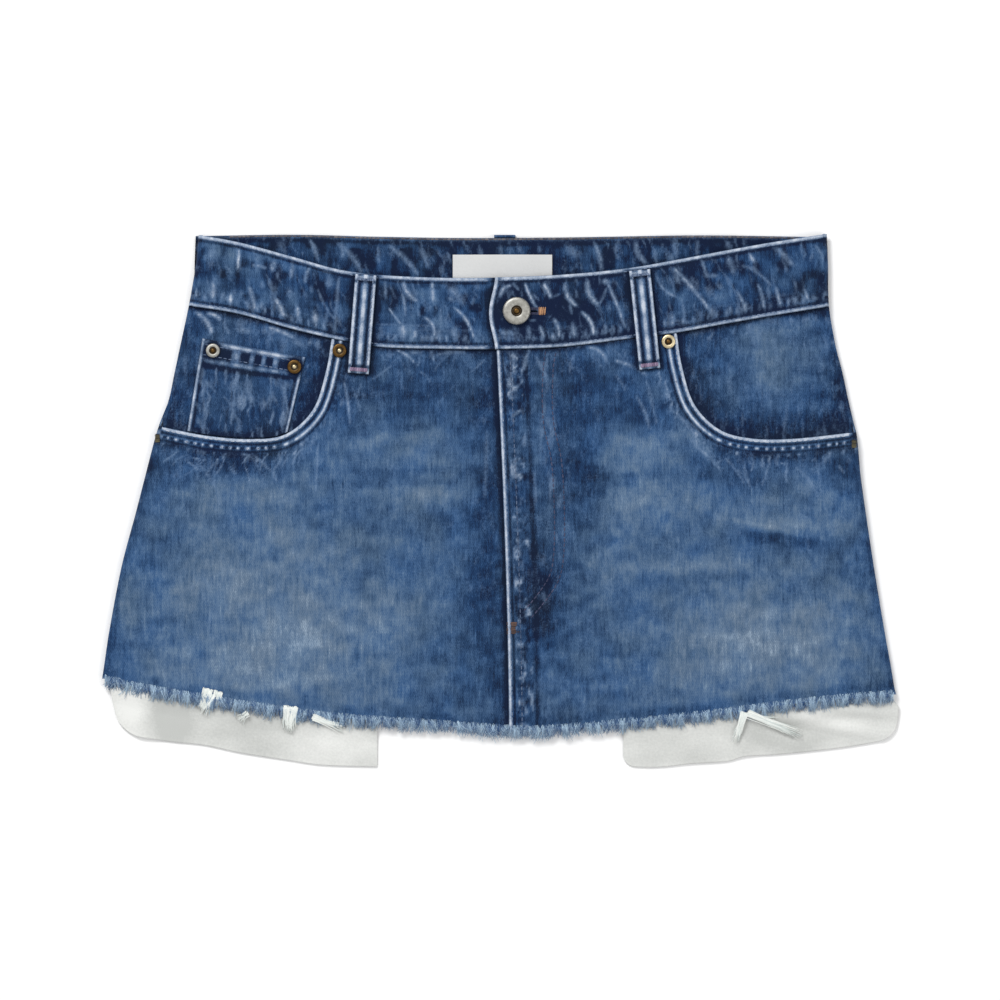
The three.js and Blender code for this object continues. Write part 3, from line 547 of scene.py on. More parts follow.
def graded(length, step, head, tail=0.0):
    """Shares of a way with fine steps over its head and its tail. Their count is odd."""
    fine = 0.62
    start, end = np.arange(0, head, fine), length - np.arange(0, tail, fine)[::-1]
    if not len(end):
        end = np.array([length])
    first, last = (start[-1] + fine if len(start) else 0.0), end[0]
    count = round((last - first) / step)
    if (len(start) + len(end) + count) % 2 == 0:
        count += 1
    return np.concatenate([start, np.linspace(first, last, count + 1)[:-1], end]) / length


def grid_faces(at, flip):
    a, b, c, d = at[:-1, :-1], at[1:, :-1], at[1:, 1:], at[:-1, 1:]
    corners = (a, d, c, b) if flip else (a, b, c, d)
    return np.stack([corner.ravel() for corner in corners], axis=1)


def border(at):
    """The indices round a grid, in the direction in which its faces run."""
    return np.concatenate([at[:-1, 0], at[-1, :-1], at[:0:-1, -1], at[0, :0:-1]])


def shell(outer, inner, every=2, hole=None):
    """Points and faces of a closed thin shell. inner is thinned to every second line of the grid.
    hole is the first and last column and row of an opening through it."""
    columns, rows = outer.shape[:2]
    inner = inner[::every, ::every]
    at_outer = np.arange(columns * rows).reshape(columns, rows)
    at_inner = columns * rows + np.arange(inner.shape[0] * inner.shape[1]).reshape(inner.shape[:2])
    faces = [*grid_faces(at_outer, False), *grid_faces(at_inner, True)]
    rims = [(border(at_outer), border(at_inner))]
    if hole:
        c0, c1, r0, r1 = hole
        opened = {tuple(face) for face in grid_faces(at_outer[c0 : c1 + 1, r0 : r1 + 1], False)}
        within = at_inner[c0 // every : c1 // every + 1, r0 // every : r1 // every + 1]
        opened |= {tuple(face) for face in grid_faces(within, True)}
        faces = [face for face in faces if tuple(face) not in opened]
        loop = border(at_outer[c0 : c1 + 1, r0 : r1 + 1])[::-1]
        rims.append((np.roll(loop, 1), np.roll(border(within)[::-1], 1)))
    for out, into in rims:
        after_out, after_in = np.roll(out, -1), np.roll(into, -1)
        if every == 1:
            faces += list(np.stack([after_out, out, into, after_in], axis=1))
            continue
        middle, end = out[1::2], np.roll(out, -2)[::2]
        faces += list(np.stack([middle, out[::2], into], axis=1))
        faces += list(np.stack([middle, into, after_in], axis=1))
        faces += list(np.stack([end, middle, after_in], axis=1))
    points = np.concatenate([outer.reshape(-1, 3), inner.reshape(-1, 3)])
    far = points[at_outer[columns // 2, rows // 2]]
    run = points[at_outer[columns // 2 + 1, rows // 2]] - far
    down = points[at_outer[columns // 2, rows // 2 + 1]] - far
    outwards = far - points[at_inner[inner.shape[0] // 2, inner.shape[1] // 2]]
    if np.dot(np.cross(run, down), outwards) < 0:
        faces = [face[::-1] for face in faces]
    return points, faces


def shell_colour_shares(skin, every, rim_worn=0.0):
    """The colour shares of a shell's points, outer ones first: fades, wear and painted shade."""
    colour_shares = {}
    for key in ("fade", "worn", "dark"):
        outer = getattr(skin, key)
        inner = outer[::every, ::every] * (key == "fade") + rim_worn * (key == "worn")
        colour_shares[key] = np.concatenate([outer.ravel(), inner.ravel()])
    return colour_shares


def meet(column_x, line_y, count):
    """The height at which a column that drifts sideways on its way down meets a line."""
    y = np.zeros((count, 1))
    for _ in range(8):
        y = line_y(column_x(y))
    return y


FOLD_ANGLES = np.linspace(0, 90, FOLD_STEPS)[:-1]


def fold_grid(side, x, y, angles, level, relief, thickness, face, front, inset):
    """The grid of one face of a layer that rounds over at the side fold."""
    turn = np.radians(angles)[:, None]
    offset = face * thickness
    distance = inset + offset + (FOLD_RADIUS - offset) * (1 - np.cos(turn))
    x = np.where(angles[:, None] < 90, side_x(side, y) + INWARD[side] * distance, x)
    way = 1 if front else -1
    flat_z = level(x, y) - way * offset + way * relief
    seam_z = FOLD_SEAM_Z + way * SEAM_GAP / 2
    return np.stack([x, y, lerp(seam_z, flat_z, np.sin(turn))], axis=2)


def folded(side, x, y, angles, level, made, thickness, front=True, inset=0):
    """Outer and inner grids of a layer from its places, and its skin."""
    made.relief = made.relief * np.sin(np.radians(angles))[:, None]
    grids = [
        fold_grid(side, x, y, angles, level, made.relief * (1 - face), thickness, face, front, inset)
        for face in (0, 1)
    ]
    return *grids, made


def with_fold(values, on_fold):
    """Values of a layer's columns, led by those of the columns on its side fold."""
    return np.concatenate([np.broadcast_to(on_fold, len(FOLD_ANGLES)), values])


def side_piece(
    side, level, thickness, inner_x, top_y, bottom_y, columns, rows, skin, front=True, inset=None
):
    """Outer and inner grids of a piece from the side fold inwards, and its skin."""
    inset_at = inset or (lambda y: 0 * y)
    angles = with_fold(np.full(len(columns), 90.0), FOLD_ANGLES)
    share = with_fold(columns, 0)[:, None]
    on_fold = angles[:, None] < 90

    def column_x(y):
        start = side_x(side, y) + INWARD[side] * (inset_at(y) + FOLD_RADIUS)
        return np.where(on_fold, side_x(side, y), lerp(start, inner_x(y), share))

    top, bottom = (meet(column_x, line, len(angles)) for line in (top_y, bottom_y))
    y = lerp(top, bottom, rows[None, :])
    x = column_x(y)
    return folded(side, x, y, angles, level, skin(x, y), thickness, front, inset_at(y))


# Skins

BAND_STEP = 0.75
PANEL_STEP = 1.25
LOOP_SHADOW = 3.0
BAND_DEPTH = {"right": 0.3, "left": 0.47}

# Worn marks one by one, read off the photograph: x and y of both ends and the bow in its pixels,
# then the width in millimetres and the strength
RIGHT_BAND_MARKS = (
    (213, 248, 210, 268, 0, 3.4, 0.45), (239, 250, 238, 269, 0, 1.5, 0.75),
    (252, 266, 267, 269, 1, 1.5, 0.55), (274, 262, 272, 272, 0, 2.4, 0.65),
    (278, 273, 277, 279, 0, 1.5, 0.5), (293, 266, 291, 278, 0, 2.1, 0.6),
    (310, 268, 305, 283, -1, 1.5, 0.6), (329, 275, 329, 289, 0, 2.8, 0.45),
    (339, 278, 335, 330, 0, 1.5, 0.5), (213, 283, 213, 299, 0, 2.4, 0.7),
    (196, 289, 196, 297, 0, 1.7, 0.75), (231, 295, 231, 305, 0, 2.1, 0.8),
    (224, 293, 222, 299, 0, 1.9, 0.5), (249, 287, 255, 310, 1, 1.8, 0.65),
    (262, 303, 262, 309, 0, 2.2, 0.6), (275, 299, 284, 317, 1, 2.2, 0.75),
    (297, 307, 299, 321, 0, 2.0, 0.65), (314, 313, 316, 324, 0, 3.0, 0.7),
    (327, 313, 326, 324, 0, 1.5, 0.45), (318, 289, 335, 320, -2, 1.1, 0.5),
    (289, 289, 291, 299, 0, 2.4, 0.5), (311, 287, 312, 293, 0, 1.5, 0.45),
    (262, 283, 262, 289, 0, 1.9, 0.45), (225, 265, 231, 273, 0, 1.3, 0.45),
    (323, 271, 333, 273, 0, 1.9, 0.4), (385, 282, 386, 299, 0, 1.5, 0.5),
    (403, 282, 418, 302, -3, 2.2, 0.7), (402, 294, 405, 316, 1, 1.4, 0.65),
    (432, 283, 433, 301, 0, 1.8, 0.75), (449, 287, 464, 305, 0, 3.6, 0.5),
    (448, 298, 456, 302, 0, 1.9, 0.5), (389, 309, 401, 325, 0, 1.0, 0.75),
    (402, 325, 403, 339, 0, 3.0, 0.7), (416, 330, 414, 339, 0, 2.4, 0.65),
    (425, 318, 434, 338, 4, 1.5, 0.75), (435, 330, 434, 340, 0, 2.2, 0.6),
    (440, 330, 436, 340, 0, 1.8, 0.6), (441, 309, 441, 324, 0, 1.1, 0.5), (454, 308, 474, 340, 4, 1.4, 0.8),
    (455, 328, 456, 340, 0, 3.2, 0.6), (474, 298, 472, 306, 0, 1.5, 0.4),
    (380, 327, 382, 338, 0, 1.9, 0.45), (417, 310, 420, 317, 0, 1.1, 0.45),
    (378, 325, 462, 327, 0, 1.3, 0.3), (474, 287, 481, 287, 0, 2.6, 0.3)
)
LEFT_BAND_MARKS = (
    (500, 297, 512, 286, 3, 1.9, 0.7), (513, 284, 519, 291, 0, 1.2, 0.5),
    (525, 284, 538, 311, -1, 1.3, 0.85), (533, 295, 539, 301, 0, 1.1, 0.5),
    (544, 284, 551, 298, 0, 1.8, 0.85), (553, 297, 560, 295, 0, 1.1, 0.4),
    (565, 284, 578, 307, -4, 1.9, 0.8), (569, 301, 572, 315, 0, 1.1, 0.45),
    (587, 281, 600, 307, -4, 2.2, 0.75), (603, 282, 610, 283, 0, 1.9, 0.7),
    (608, 285, 625, 328, 1, 1.5, 0.7), (606, 289, 599, 305, 1, 1.2, 0.5),
    (582, 313, 593, 337, 4, 1.6, 0.85), (554, 320, 559, 338, 2, 1.7, 0.75),
    (573, 325, 574, 337, 0, 2.7, 0.7), (605, 325, 606, 335, 0, 1.7, 0.65),
    (529, 328, 530, 340, 0, 1.9, 0.55), (540, 327, 544, 338, 0, 1.6, 0.75),
    (500, 333, 517, 335, 0, 2.6, 0.6), (530, 321, 536, 321, 0, 1.1, 0.4),
    (656, 273, 679, 298, -6, 1.3, 0.6), (674, 269, 709, 310, 1, 1.8, 0.75),
    (674, 270, 679, 283, 0, 2.4, 0.5), (701, 260, 707, 276, 0, 1.5, 0.6), (704, 276, 718, 276, 0, 2.2, 0.5),
    (714, 260, 717, 264, 0, 1.3, 0.4), (728, 258, 734, 274, 0, 2.4, 0.6), (749, 254, 754, 263, 0, 1.8, 0.7),
    (742, 266, 772, 287, 3, 1.2, 0.5), (777, 249, 793, 266, 0, 2.4, 0.6), (717, 285, 723, 289, 0, 2.0, 0.5),
    (736, 291, 745, 309, 1, 1.5, 0.65), (745, 303, 745, 313, 0, 2.0, 0.65),
    (758, 285, 764, 309, 1, 1.5, 0.65), (776, 287, 780, 305, 0, 1.5, 0.7),
    (793, 297, 794, 303, 0, 2.0, 0.55), (804, 289, 809, 302, 0, 1.4, 0.7),
    (730, 306, 730, 315, 0, 2.0, 0.55), (682, 301, 685, 322, 0, 1.3, 0.5),
    (668, 314, 674, 321, 0, 3.0, 0.55), (699, 311, 700, 319, 0, 3.6, 0.45),
    (711, 308, 712, 318, 0, 2.8, 0.6), (801, 243, 802, 255, 0, 1.3, 0.45),
    (815, 246, 826, 264, 1, 1.2, 0.5), (686, 289, 699, 289, 0, 2.2, 0.4), (703, 289, 712, 290, 0, 1.9, 0.35)
)
BACK_BAND_MARKS = (
    (310, 240, 318, 261, 1, 1.8, 0.75), (278, 242, 285, 251, 0, 3.4, 0.5),
    (342, 243, 343, 258, 0, 1.8, 0.6), (302, 252, 303, 256, 0, 1.0, 0.5), (338, 244, 362, 274, 3, 2.1, 0.7),
    (378, 246, 379, 263, 0, 1.5, 0.6), (389, 246, 418, 275, 2, 2.1, 0.72),
    (420, 248, 428, 267, 1, 2.4, 0.65), (464, 245, 471, 253, 0, 1.8, 0.4),
    (479, 247, 482, 257, 0, 1.8, 0.5), (500, 246, 502, 254, 0, 1.8, 0.4),
    (518, 245, 520, 253, 0, 1.8, 0.55), (506, 249, 514, 249, 0, 1.5, 0.4),
    (539, 245, 540, 253, 0, 1.8, 0.55), (566, 246, 577, 256, 0, 3.4, 0.6),
    (595, 244, 601, 272, 2, 2.0, 0.8), (617, 244, 616, 253, 0, 1.8, 0.55),
    (636, 242, 647, 264, -3, 2.2, 0.75), (634, 258, 634, 268, 0, 1.5, 0.4),
    (674, 242, 677, 256, 0, 2.4, 0.6), (663, 243, 662, 253, 0, 1.5, 0.35),
    (698, 241, 697, 256, 0, 1.8, 0.65), (727, 242, 732, 250, 0, 2.2, 0.6), (573, 270, 580, 262, 0, 2.2, 0.3)
)
FACING_MARKS = (
    (196, 313, 212, 336, 4, 2.0, 0.7), (207, 314, 221, 321, 2, 1.7, 0.75),
    (223, 322, 229, 334, 0, 1.5, 0.5), (237, 329, 251, 332, 0, 2.6, 0.5),
    (268, 328, 294, 338, 1, 1.7, 0.65), (266, 330, 272, 341, 0, 1.5, 0.4),
    (311, 340, 309, 345, 0, 1.9, 0.45), (292, 340, 306, 347, 0, 3.0, 0.35)
)


def loop_offset(side, x, y):
    """Distance sideways from a front loop's middle, and how far the place is within its length."""
    top_x, lean, overhang = FRONT_LOOPS[side]
    way = (band_top(top_x) + overhang - y) / LOOP_LENGTH
    return x - (top_x + lean * way), smoothstep(way, -0.04, 0.02) * (1 - smoothstep(way, 0.98, 1.05))


def shade_beside_loop(made, side):
    """Painted shade along both sides of a belt loop, where the cloth is also pulled in."""
    offset, within = loop_offset(side, made.x, made.y)
    beyond = np.abs(offset) - LOOP_WIDTH / 2
    shape = bell(np.maximum(beyond - 0.6, 0), LOOP_SHADOW) * within
    made.clear(0.85 * shape)
    made.mark(shape, relief=-0.35, dark=0.95)


def band_wear(made, seed, from_top, from_seam, marks, strength=1.0):
    """A band's marbled wear: its single marks over soft patches and the hollows between them."""
    x, y = made.x, made.y
    inside = smoothstep(from_top, 1.0, 4.0) * smoothstep(from_seam, 1.0, 3.5)
    patches = lattice(x / 8, y / 9, seed + 40) + 0.6 * lattice(x / 3.4, y / 5, seed + 41) - 0.8
    made.mark(patches * inside, fade=0.85)
    hollow = smoothstep(lattice(x / 4.4, y / 7, seed + 50), 0.55, 0.9)
    made.mark(hollow * inside, dark=0.6, relief=-0.14)
    made.mark(streaks(x + 0.3 * y, y, 1.9, 8, seed, 0.52, 0.9) * inside, relief=0.16, worn=0.36)
    made.mark(streaks(x, y, 2.4, 5, seed + 7, 0.45, 0.8) * bell(from_seam - 7, 3.4), relief=0.2, worn=0.45)
    made.mark(bell(from_seam - 11.5, 1.3) * lattice(x / 7, y / 7, seed + 9), relief=0.25, worn=0.3)
    roped = 0.5 + 0.5 * np.cos(2 * np.pi * (x / 5.4 + 0.2 * np.sin(x * 0.23 + seed)))
    row = bell(from_seam - 6.6, 3.0) * (0.45 + 0.55 * wobble(x, 37, seed))
    made.mark(row * roped**1.5, relief=0.3, worn=0.64)
    made.mark(row * (1 - roped), dark=0.45)
    made.strokes([(*mark[:6], mark[6] * strength) for mark in from_photo(marks)], relief=0.42)


def band_skin(side):
    seed, marks, strength = (71, RIGHT_BAND_MARKS, 0.9) if side == "right" else (172, LEFT_BAND_MARKS, 0.86)

    def skin(x, y):
        made = Skin(x, y)
        from_top, from_seam = band_top(x) - y, y - band_seam(x)
        if side == "left":
            button_hollow_and_shade(made)
        band_wear(made, seed, from_top, from_seam, marks, strength)
        made.edge_line(from_top, x, worn=0.95, width=1.15, groove=3.4)
        made.edge_line(from_seam, x, worn=0.85, width=1.1, groove=3.4)
        if side == "left":
            made.mark(hump(x - 48, 38), fade=-0.66)
            made.edge_line(np.abs(x - lap_end(y)), y, worn=1.0, width=1.4, groove=4.0)
        else:
            # Beside the left band's lapped end: no wear, and a painted shadow
            beyond = lap_end(y) - x
            made.clear(0.9 * bell(beyond, 5))
            made.line(np.maximum(beyond, 0), 4.0, dark=1.0)
        shade_beside_loop(made, side)
        made.fade = made.fade - BAND_DEPTH[side] - bell(side_distance(x, y) - 1, 3) * 0.2
        return made

    return skin


def button_hollow_and_shade(made):
    """The band is pulled in under the button and at its lap, with painted shade round the button."""
    distance = np.hypot(made.x - BUTTON[0], made.y - BUTTON[1])
    made.line(np.maximum(distance - 9.4, 0), 3.0, relief=-0.3, dark=1.0)
    made.line(np.maximum(distance - 10, 0), 9, fade=-0.45)


def back_band_skin(x, y):
    made = Skin(x, y)
    from_top, from_seam = back_top(x) - y, y - back_seam(x)
    band_wear(made, 277, from_top + 3, from_seam, BACK_BAND_MARKS, 0.68)
    made.line(from_top - 3.4, 1.4, dark=0.8)
    made.line(from_top - 0.9, 1.5, worn=0.3)
    made.rolled(from_top, 0.9)
    # Painted shade on the band beside the label's ends
    for x_at in (LABEL_SIZE["from_x"], LABEL_SIZE["to_x"]):
        made.line(np.maximum(np.abs(x - x_at) - 0.5, 0), 2.0, dark=0.5)
    made.fade = made.fade - 0.55
    return made


def panel_strokes(side):
    """Worn marbling on a front panel: under the band, round the pocket's mouth and along the side."""
    mouth = mouth_path(side)
    out = -INWARD[side]
    hip, near_side = mouth[0][0], mouth[-1][0]
    seed = 1 if side == "right" else 2
    under_band = lambda x, u: band_seam(x) - 3 - 3 * u
    round_mouth = lambda x, u: along({"x": mouth[:, 0], "y": mouth[:, 1]}, "x", "y", x) - 9 - 12 * u
    on_side = lambda x, u: 24 - 130 * u
    band, beside = (hip, fly_x(FLY_TOP_Y)), (hip + out * 8, near_side - out * 6)
    side_strip = (near_side - out * 6, near_side - out * 48)
    rows = [
        scattered(
            20 + seed, 22, band, under_band, (-0.9, 0.9), (-1.5, 2.0), (6, 17), (0.6, 1.2), (0.15, 0.42)
        ),
        scattered(
            30 + seed, 34, beside, round_mouth, (-1.1, 1.1), (-1.5, 1.5), (5, 13), (0.6, 1.2), (0.2, 0.56)
        ),
        scattered(
            40 + seed, 46, side_strip, on_side, (-0.5, 0.5), (-1.2, 1.2), (5, 14), (0.5, 0.9), (0.1, 0.3)
        )
    ]
    return np.concatenate(rows)


def panel_wear(made, seed):
    """The wash's fine marbling."""
    x, y = made.x, made.y
    made.mark(streaks(x, y, 1.6, 5, seed, 0.5, 0.95), relief=0.08, worn=0.24)
    made.mark(streaks(x + 0.5 * y, y, 2.0, 9, seed + 5, 0.55, 0.95), relief=0.1, worn=0.18)
    made.mark(streaks(x - 0.7 * y, y, 1.8, 6, seed + 9, 0.6, 0.95), relief=0.1, worn=0.18)
    made.mark(lattice(x / 8, y / 5, seed + 12) + 0.7 * lattice(x / 2.6, y / 4, seed + 13) - 0.85, fade=0.36)


# The ends of each sharp upper edge in the photograph's pixels, the reach below it and the amount
WHISKERS = (
    (316, 441, 466, 425, 12, 0.16), (330, 489, 478, 484, 9, 0.22), (334, 470, 492, 466, 8, -0.2),
    (592, 441, 690, 429, 20, 0.22), (588, 488, 724, 483, 10, 0.2), (583, 473, 724, 471, 7.5, -0.24),
    (714, 514, 812, 534, 4.5, 0.26), (728, 527, 840, 543, 9, -0.34)
)


def whiskers(made):
    """Lines across the hips where the cloth was creased: sharp above and fading out below."""
    for x0, y0, x1, y1, reach, amount in WHISKERS:
        share = (made.x / PIXEL + PHOTO_MIDDLE[0] - x0) / (x1 - x0)
        below = PIXEL * (PHOTO_MIDDLE[1] - lerp(y0, y1, share)) - made.y
        ends = smoothstep(share, 0, 0.25) * (1 - smoothstep(share, 0.7, 1))
        made.mark(smoothstep(below, -0.8, 1.0) * (1 - smoothstep(below, 2, reach)) * ends, fade=amount)


def panel_skin(side):
    mouth = mouth_path(side)
    strokes = panel_strokes(side)
    seed = 400 if side == "right" else 500

    def skin(x, y):
        made = Skin(x, y)
        made.fade_and_shade_patches(FADES)
        whiskers(made)
        panel_wear(made, seed)
        made.strokes(strokes, relief=0.16)
        made.strokes(from_photo(WORN_CREASES), relief=0.25)
        distance, way = path_distance(x, y, mouth)
        lower = smoothstep(way, 55, 80)
        beyond = smoothstep(distance, 8.5, 10) * (1 - smoothstep(distance, 12, 22))
        made.mark(streaks(x, y, 1.8, 6, seed + 20, 0.45, 0.85) * beyond, relief=0.22, worn=0.62)
        made.puckers(distance, way, 10.4, 2.2, 5.6, worn=0.3, relief=0.22, phase=1)
        # Painted shade in the groove below the mouth's second row, and a broader painted shadow below it
        # towards the mouth's lower part
        made.line(distance - 8.1, 1.1, relief=-0.3, dark=0.95)
        made.mark(bell(distance - 9.6, 3.4) * lower, dark=0.7)
        second = bell(distance - 5.9, 1.15)
        bead = np.clip(np.cos(2 * np.pi * (way / 5.4 + 0.14 * np.sin(way * 0.31))), 0, 1) ** 0.7
        made.clear(bell(distance - 5.9, 2.2))
        made.mark(second * lerp(0.95, 0.05 + 0.95 * bead, lower), relief=0.34, worn=1.0)
        made.mark(second * (1 - bead) * lower, dark=0.9)
        made.edge_line(distance, way, worn=1.0, width=1.1, groove=3.5, depth=0.42)
        below = band_seam(x) - y
        made.mark(streaks(x, y, 2.0, 7, seed + 30, 0.5, 0.85) * bell(below - 5, 4), relief=0.25, worn=0.36)
        # Painted shadow under the band's lower edge
        made.line(below, 2.5, dark=1.0)
        from_hem = y - hem_y(x)
        made.line(from_hem, 1.8, relief=-0.15, worn=0.55)
        # Painted shade a few millimetres above the hem
        made.line(from_hem - 5.5, 3.0, fade=-0.3)
        edge = side_distance(x, y)
        made.line(edge - 1.0, 3.0, fade=-0.35)
        shade_beside_loop(made, side)
        if side == "left":
            fly_wear(made)
        else:
            fly = fly_x(y) - x
            # Beside the fly's lapped edge: no wear, and a dark line of painted shadow over the unworn dye
            made.clear(0.9 * bell(np.maximum(fly, 0), 3.0))
            made.line(np.maximum(fly - 0.6, 0), 2.8, dark=1.15)
            made.line(fly - 8, 5, fade=-0.25)
        return made

    return skin


def fly_wear(made):
    """The fly's worn edge, the puckered strip beside it, and painted shade in the hollow past its
    stitching.
    """
    x, y = made.x, made.y
    fly = x - fly_x(y)
    strip = smoothstep(fly, 4.2, 5.6) * (1 - smoothstep(fly, 14.5, 16.5))
    made.mark(strip, fade=-0.24)
    made.mark(streaks(x, y, 2.6, 5, 620, 0.5, 0.8) * strip, relief=0.5, worn=0.66)
    made.mark(streaks(x, y, 2.2, 5, 623, 0.5, 0.8) * strip, relief=-0.2, dark=0.6)
    made.puckers(fly, y, 8.4, 2.8, 7.5, worn=0.4, relief=0.4, phase=4)
    # Painted shade in the groove beyond the strip
    made.line(fly - 17.6, 1.8, relief=-0.35, dark=0.8)
    beyond = smoothstep(fly, 18, 20) * (1 - smoothstep(fly, 34, 40)) * smoothstep(y, -85, -60)
    made.mark(streaks(x, y, 2.4, 12, 640, 0.5, 0.85) * beyond, relief=0.25, worn=0.42)
    # Painted shade in the hollow past the stitching
    made.mark(bell(fly - 24, 5) * bell(y + 62, 22), dark=0.55)
    made.edge_line(fly, y, worn=1.0, width=1.0, groove=3.7, depth=0.45)


WORN_CREASES = (
    (397, 351, 415, 364, 2, 1.2, 0.65), (410, 353, 422, 353, 0, 1.7, 0.45),
    (431, 352, 434, 361, 0, 1.3, 0.55), (438, 355, 465, 353, 1, 1.8, 0.4),
    (589, 348, 607, 365, 5, 1.5, 0.65), (615, 361, 647, 376, 2, 1.6, 0.6),
    (566, 361, 574, 370, 0, 1.3, 0.4), (344, 382, 350, 425, 1, 1.2, 0.55),
    (352, 388, 360, 412, 1, 1.1, 0.45), (361, 384, 356, 400, 0, 1.1, 0.4),
    (392, 366, 372, 380, 0, 1.1, 0.4), (420, 372, 432, 384, 1, 1.0, 0.4), (318, 446, 316, 492, 0, 1.2, 0.4),
    (196, 462, 216, 490, 2, 1.4, 0.42), (214, 478, 220, 506, 0, 1.2, 0.36),
    (636, 396, 650, 430, 2, 1.4, 0.5), (646, 380, 656, 424, 1, 1.2, 0.42),
    (668, 408, 700, 444, 3, 1.6, 0.45), (614, 374, 626, 392, 1, 1.1, 0.4),
    (694, 446, 720, 470, 2, 1.6, 0.45), (724, 458, 744, 484, 2, 1.3, 0.42),
    (744, 466, 750, 488, 0, 1.3, 0.42), (770, 462, 762, 486, 0, 1.2, 0.4),
    (796, 468, 818, 498, 3, 1.5, 0.45), (816, 458, 822, 494, 0, 1.2, 0.38),
    (487, 433, 485, 498, 0, 1.8, 0.35), (513, 353, 514, 374, 0, 1.5, 0.6),
    (527, 355, 523, 371, 0, 1.8, 0.55), (536, 357, 546, 377, 0, 1.6, 0.5)
)


def facing_skin(side):
    rng_seed = 51 if side == "right" else 52
    mouth = mouth_path(side)
    out = -INWARD[side]
    threads = scattered(
        rng_seed, 40, (mouth[0][0] + out * 6, mouth[-1][0]), lambda x, u: lerp(band_seam(x) - 4, 52, u),
        (-0.25, 0.25), (-1, 1), (6, 18), (0.5, 1.0), (0.1, 0.34)
    )

    def skin(x, y):
        made = Skin(x, y)
        made.fade_and_shade_patches(FACING_FADES_AND_SHADOW)
        made.strokes(threads, relief=0.14)
        below = band_seam(x) - y
        made.mark(streaks(x, y, 2.4, 7, rng_seed, 0.5, 0.85) * bell(below - 6, 5), relief=0.25, worn=0.42)
        made.mark(streaks(x, y, 1.6, 14, rng_seed + 3, 0.5, 0.9), relief=0.1, worn=0.3)
        made.strokes(from_photo(FACING_MARKS), relief=0.35)
        # Painted shadow under the band's lower edge and along the mouth's edge, where the panel lies over
        # the facing
        made.line(below, 2.5, dark=1.0)
        distance, _ = path_distance(x, y, mouth)
        made.line(distance, 3.8, dark=0.85)
        panel_wear(made, rng_seed)
        made.fade = made.fade - 0.3
        return made

    return skin


def back_skin(x, y):
    made = Skin(x, y)
    made.fade_and_shade_patches([(-120, -60, 70, 60, 0, 0.35), (120, -60, 70, 60, 0, 0.35), (0, -20, 30, 90, 0, -0.2)])
    seam = np.abs(x - BACK_MIDDLE_X)
    # Painted shade in the stitched grooves beside the back seam
    made.line(seam - 3.2, 0.8, relief=-0.3, dark=0.5)
    made.line(seam - 9.2, 0.8, relief=-0.3, dark=0.5)
    made.line(seam - 1, 0.8, worn=0.5)
    made.line(y - back_hem_y(x), 1.6, relief=-0.15, worn=0.6)
    made.rolled(seam - SEAM_GAP / 2, 0.5)
    return made


# Materials

WAVE_RATE = 20


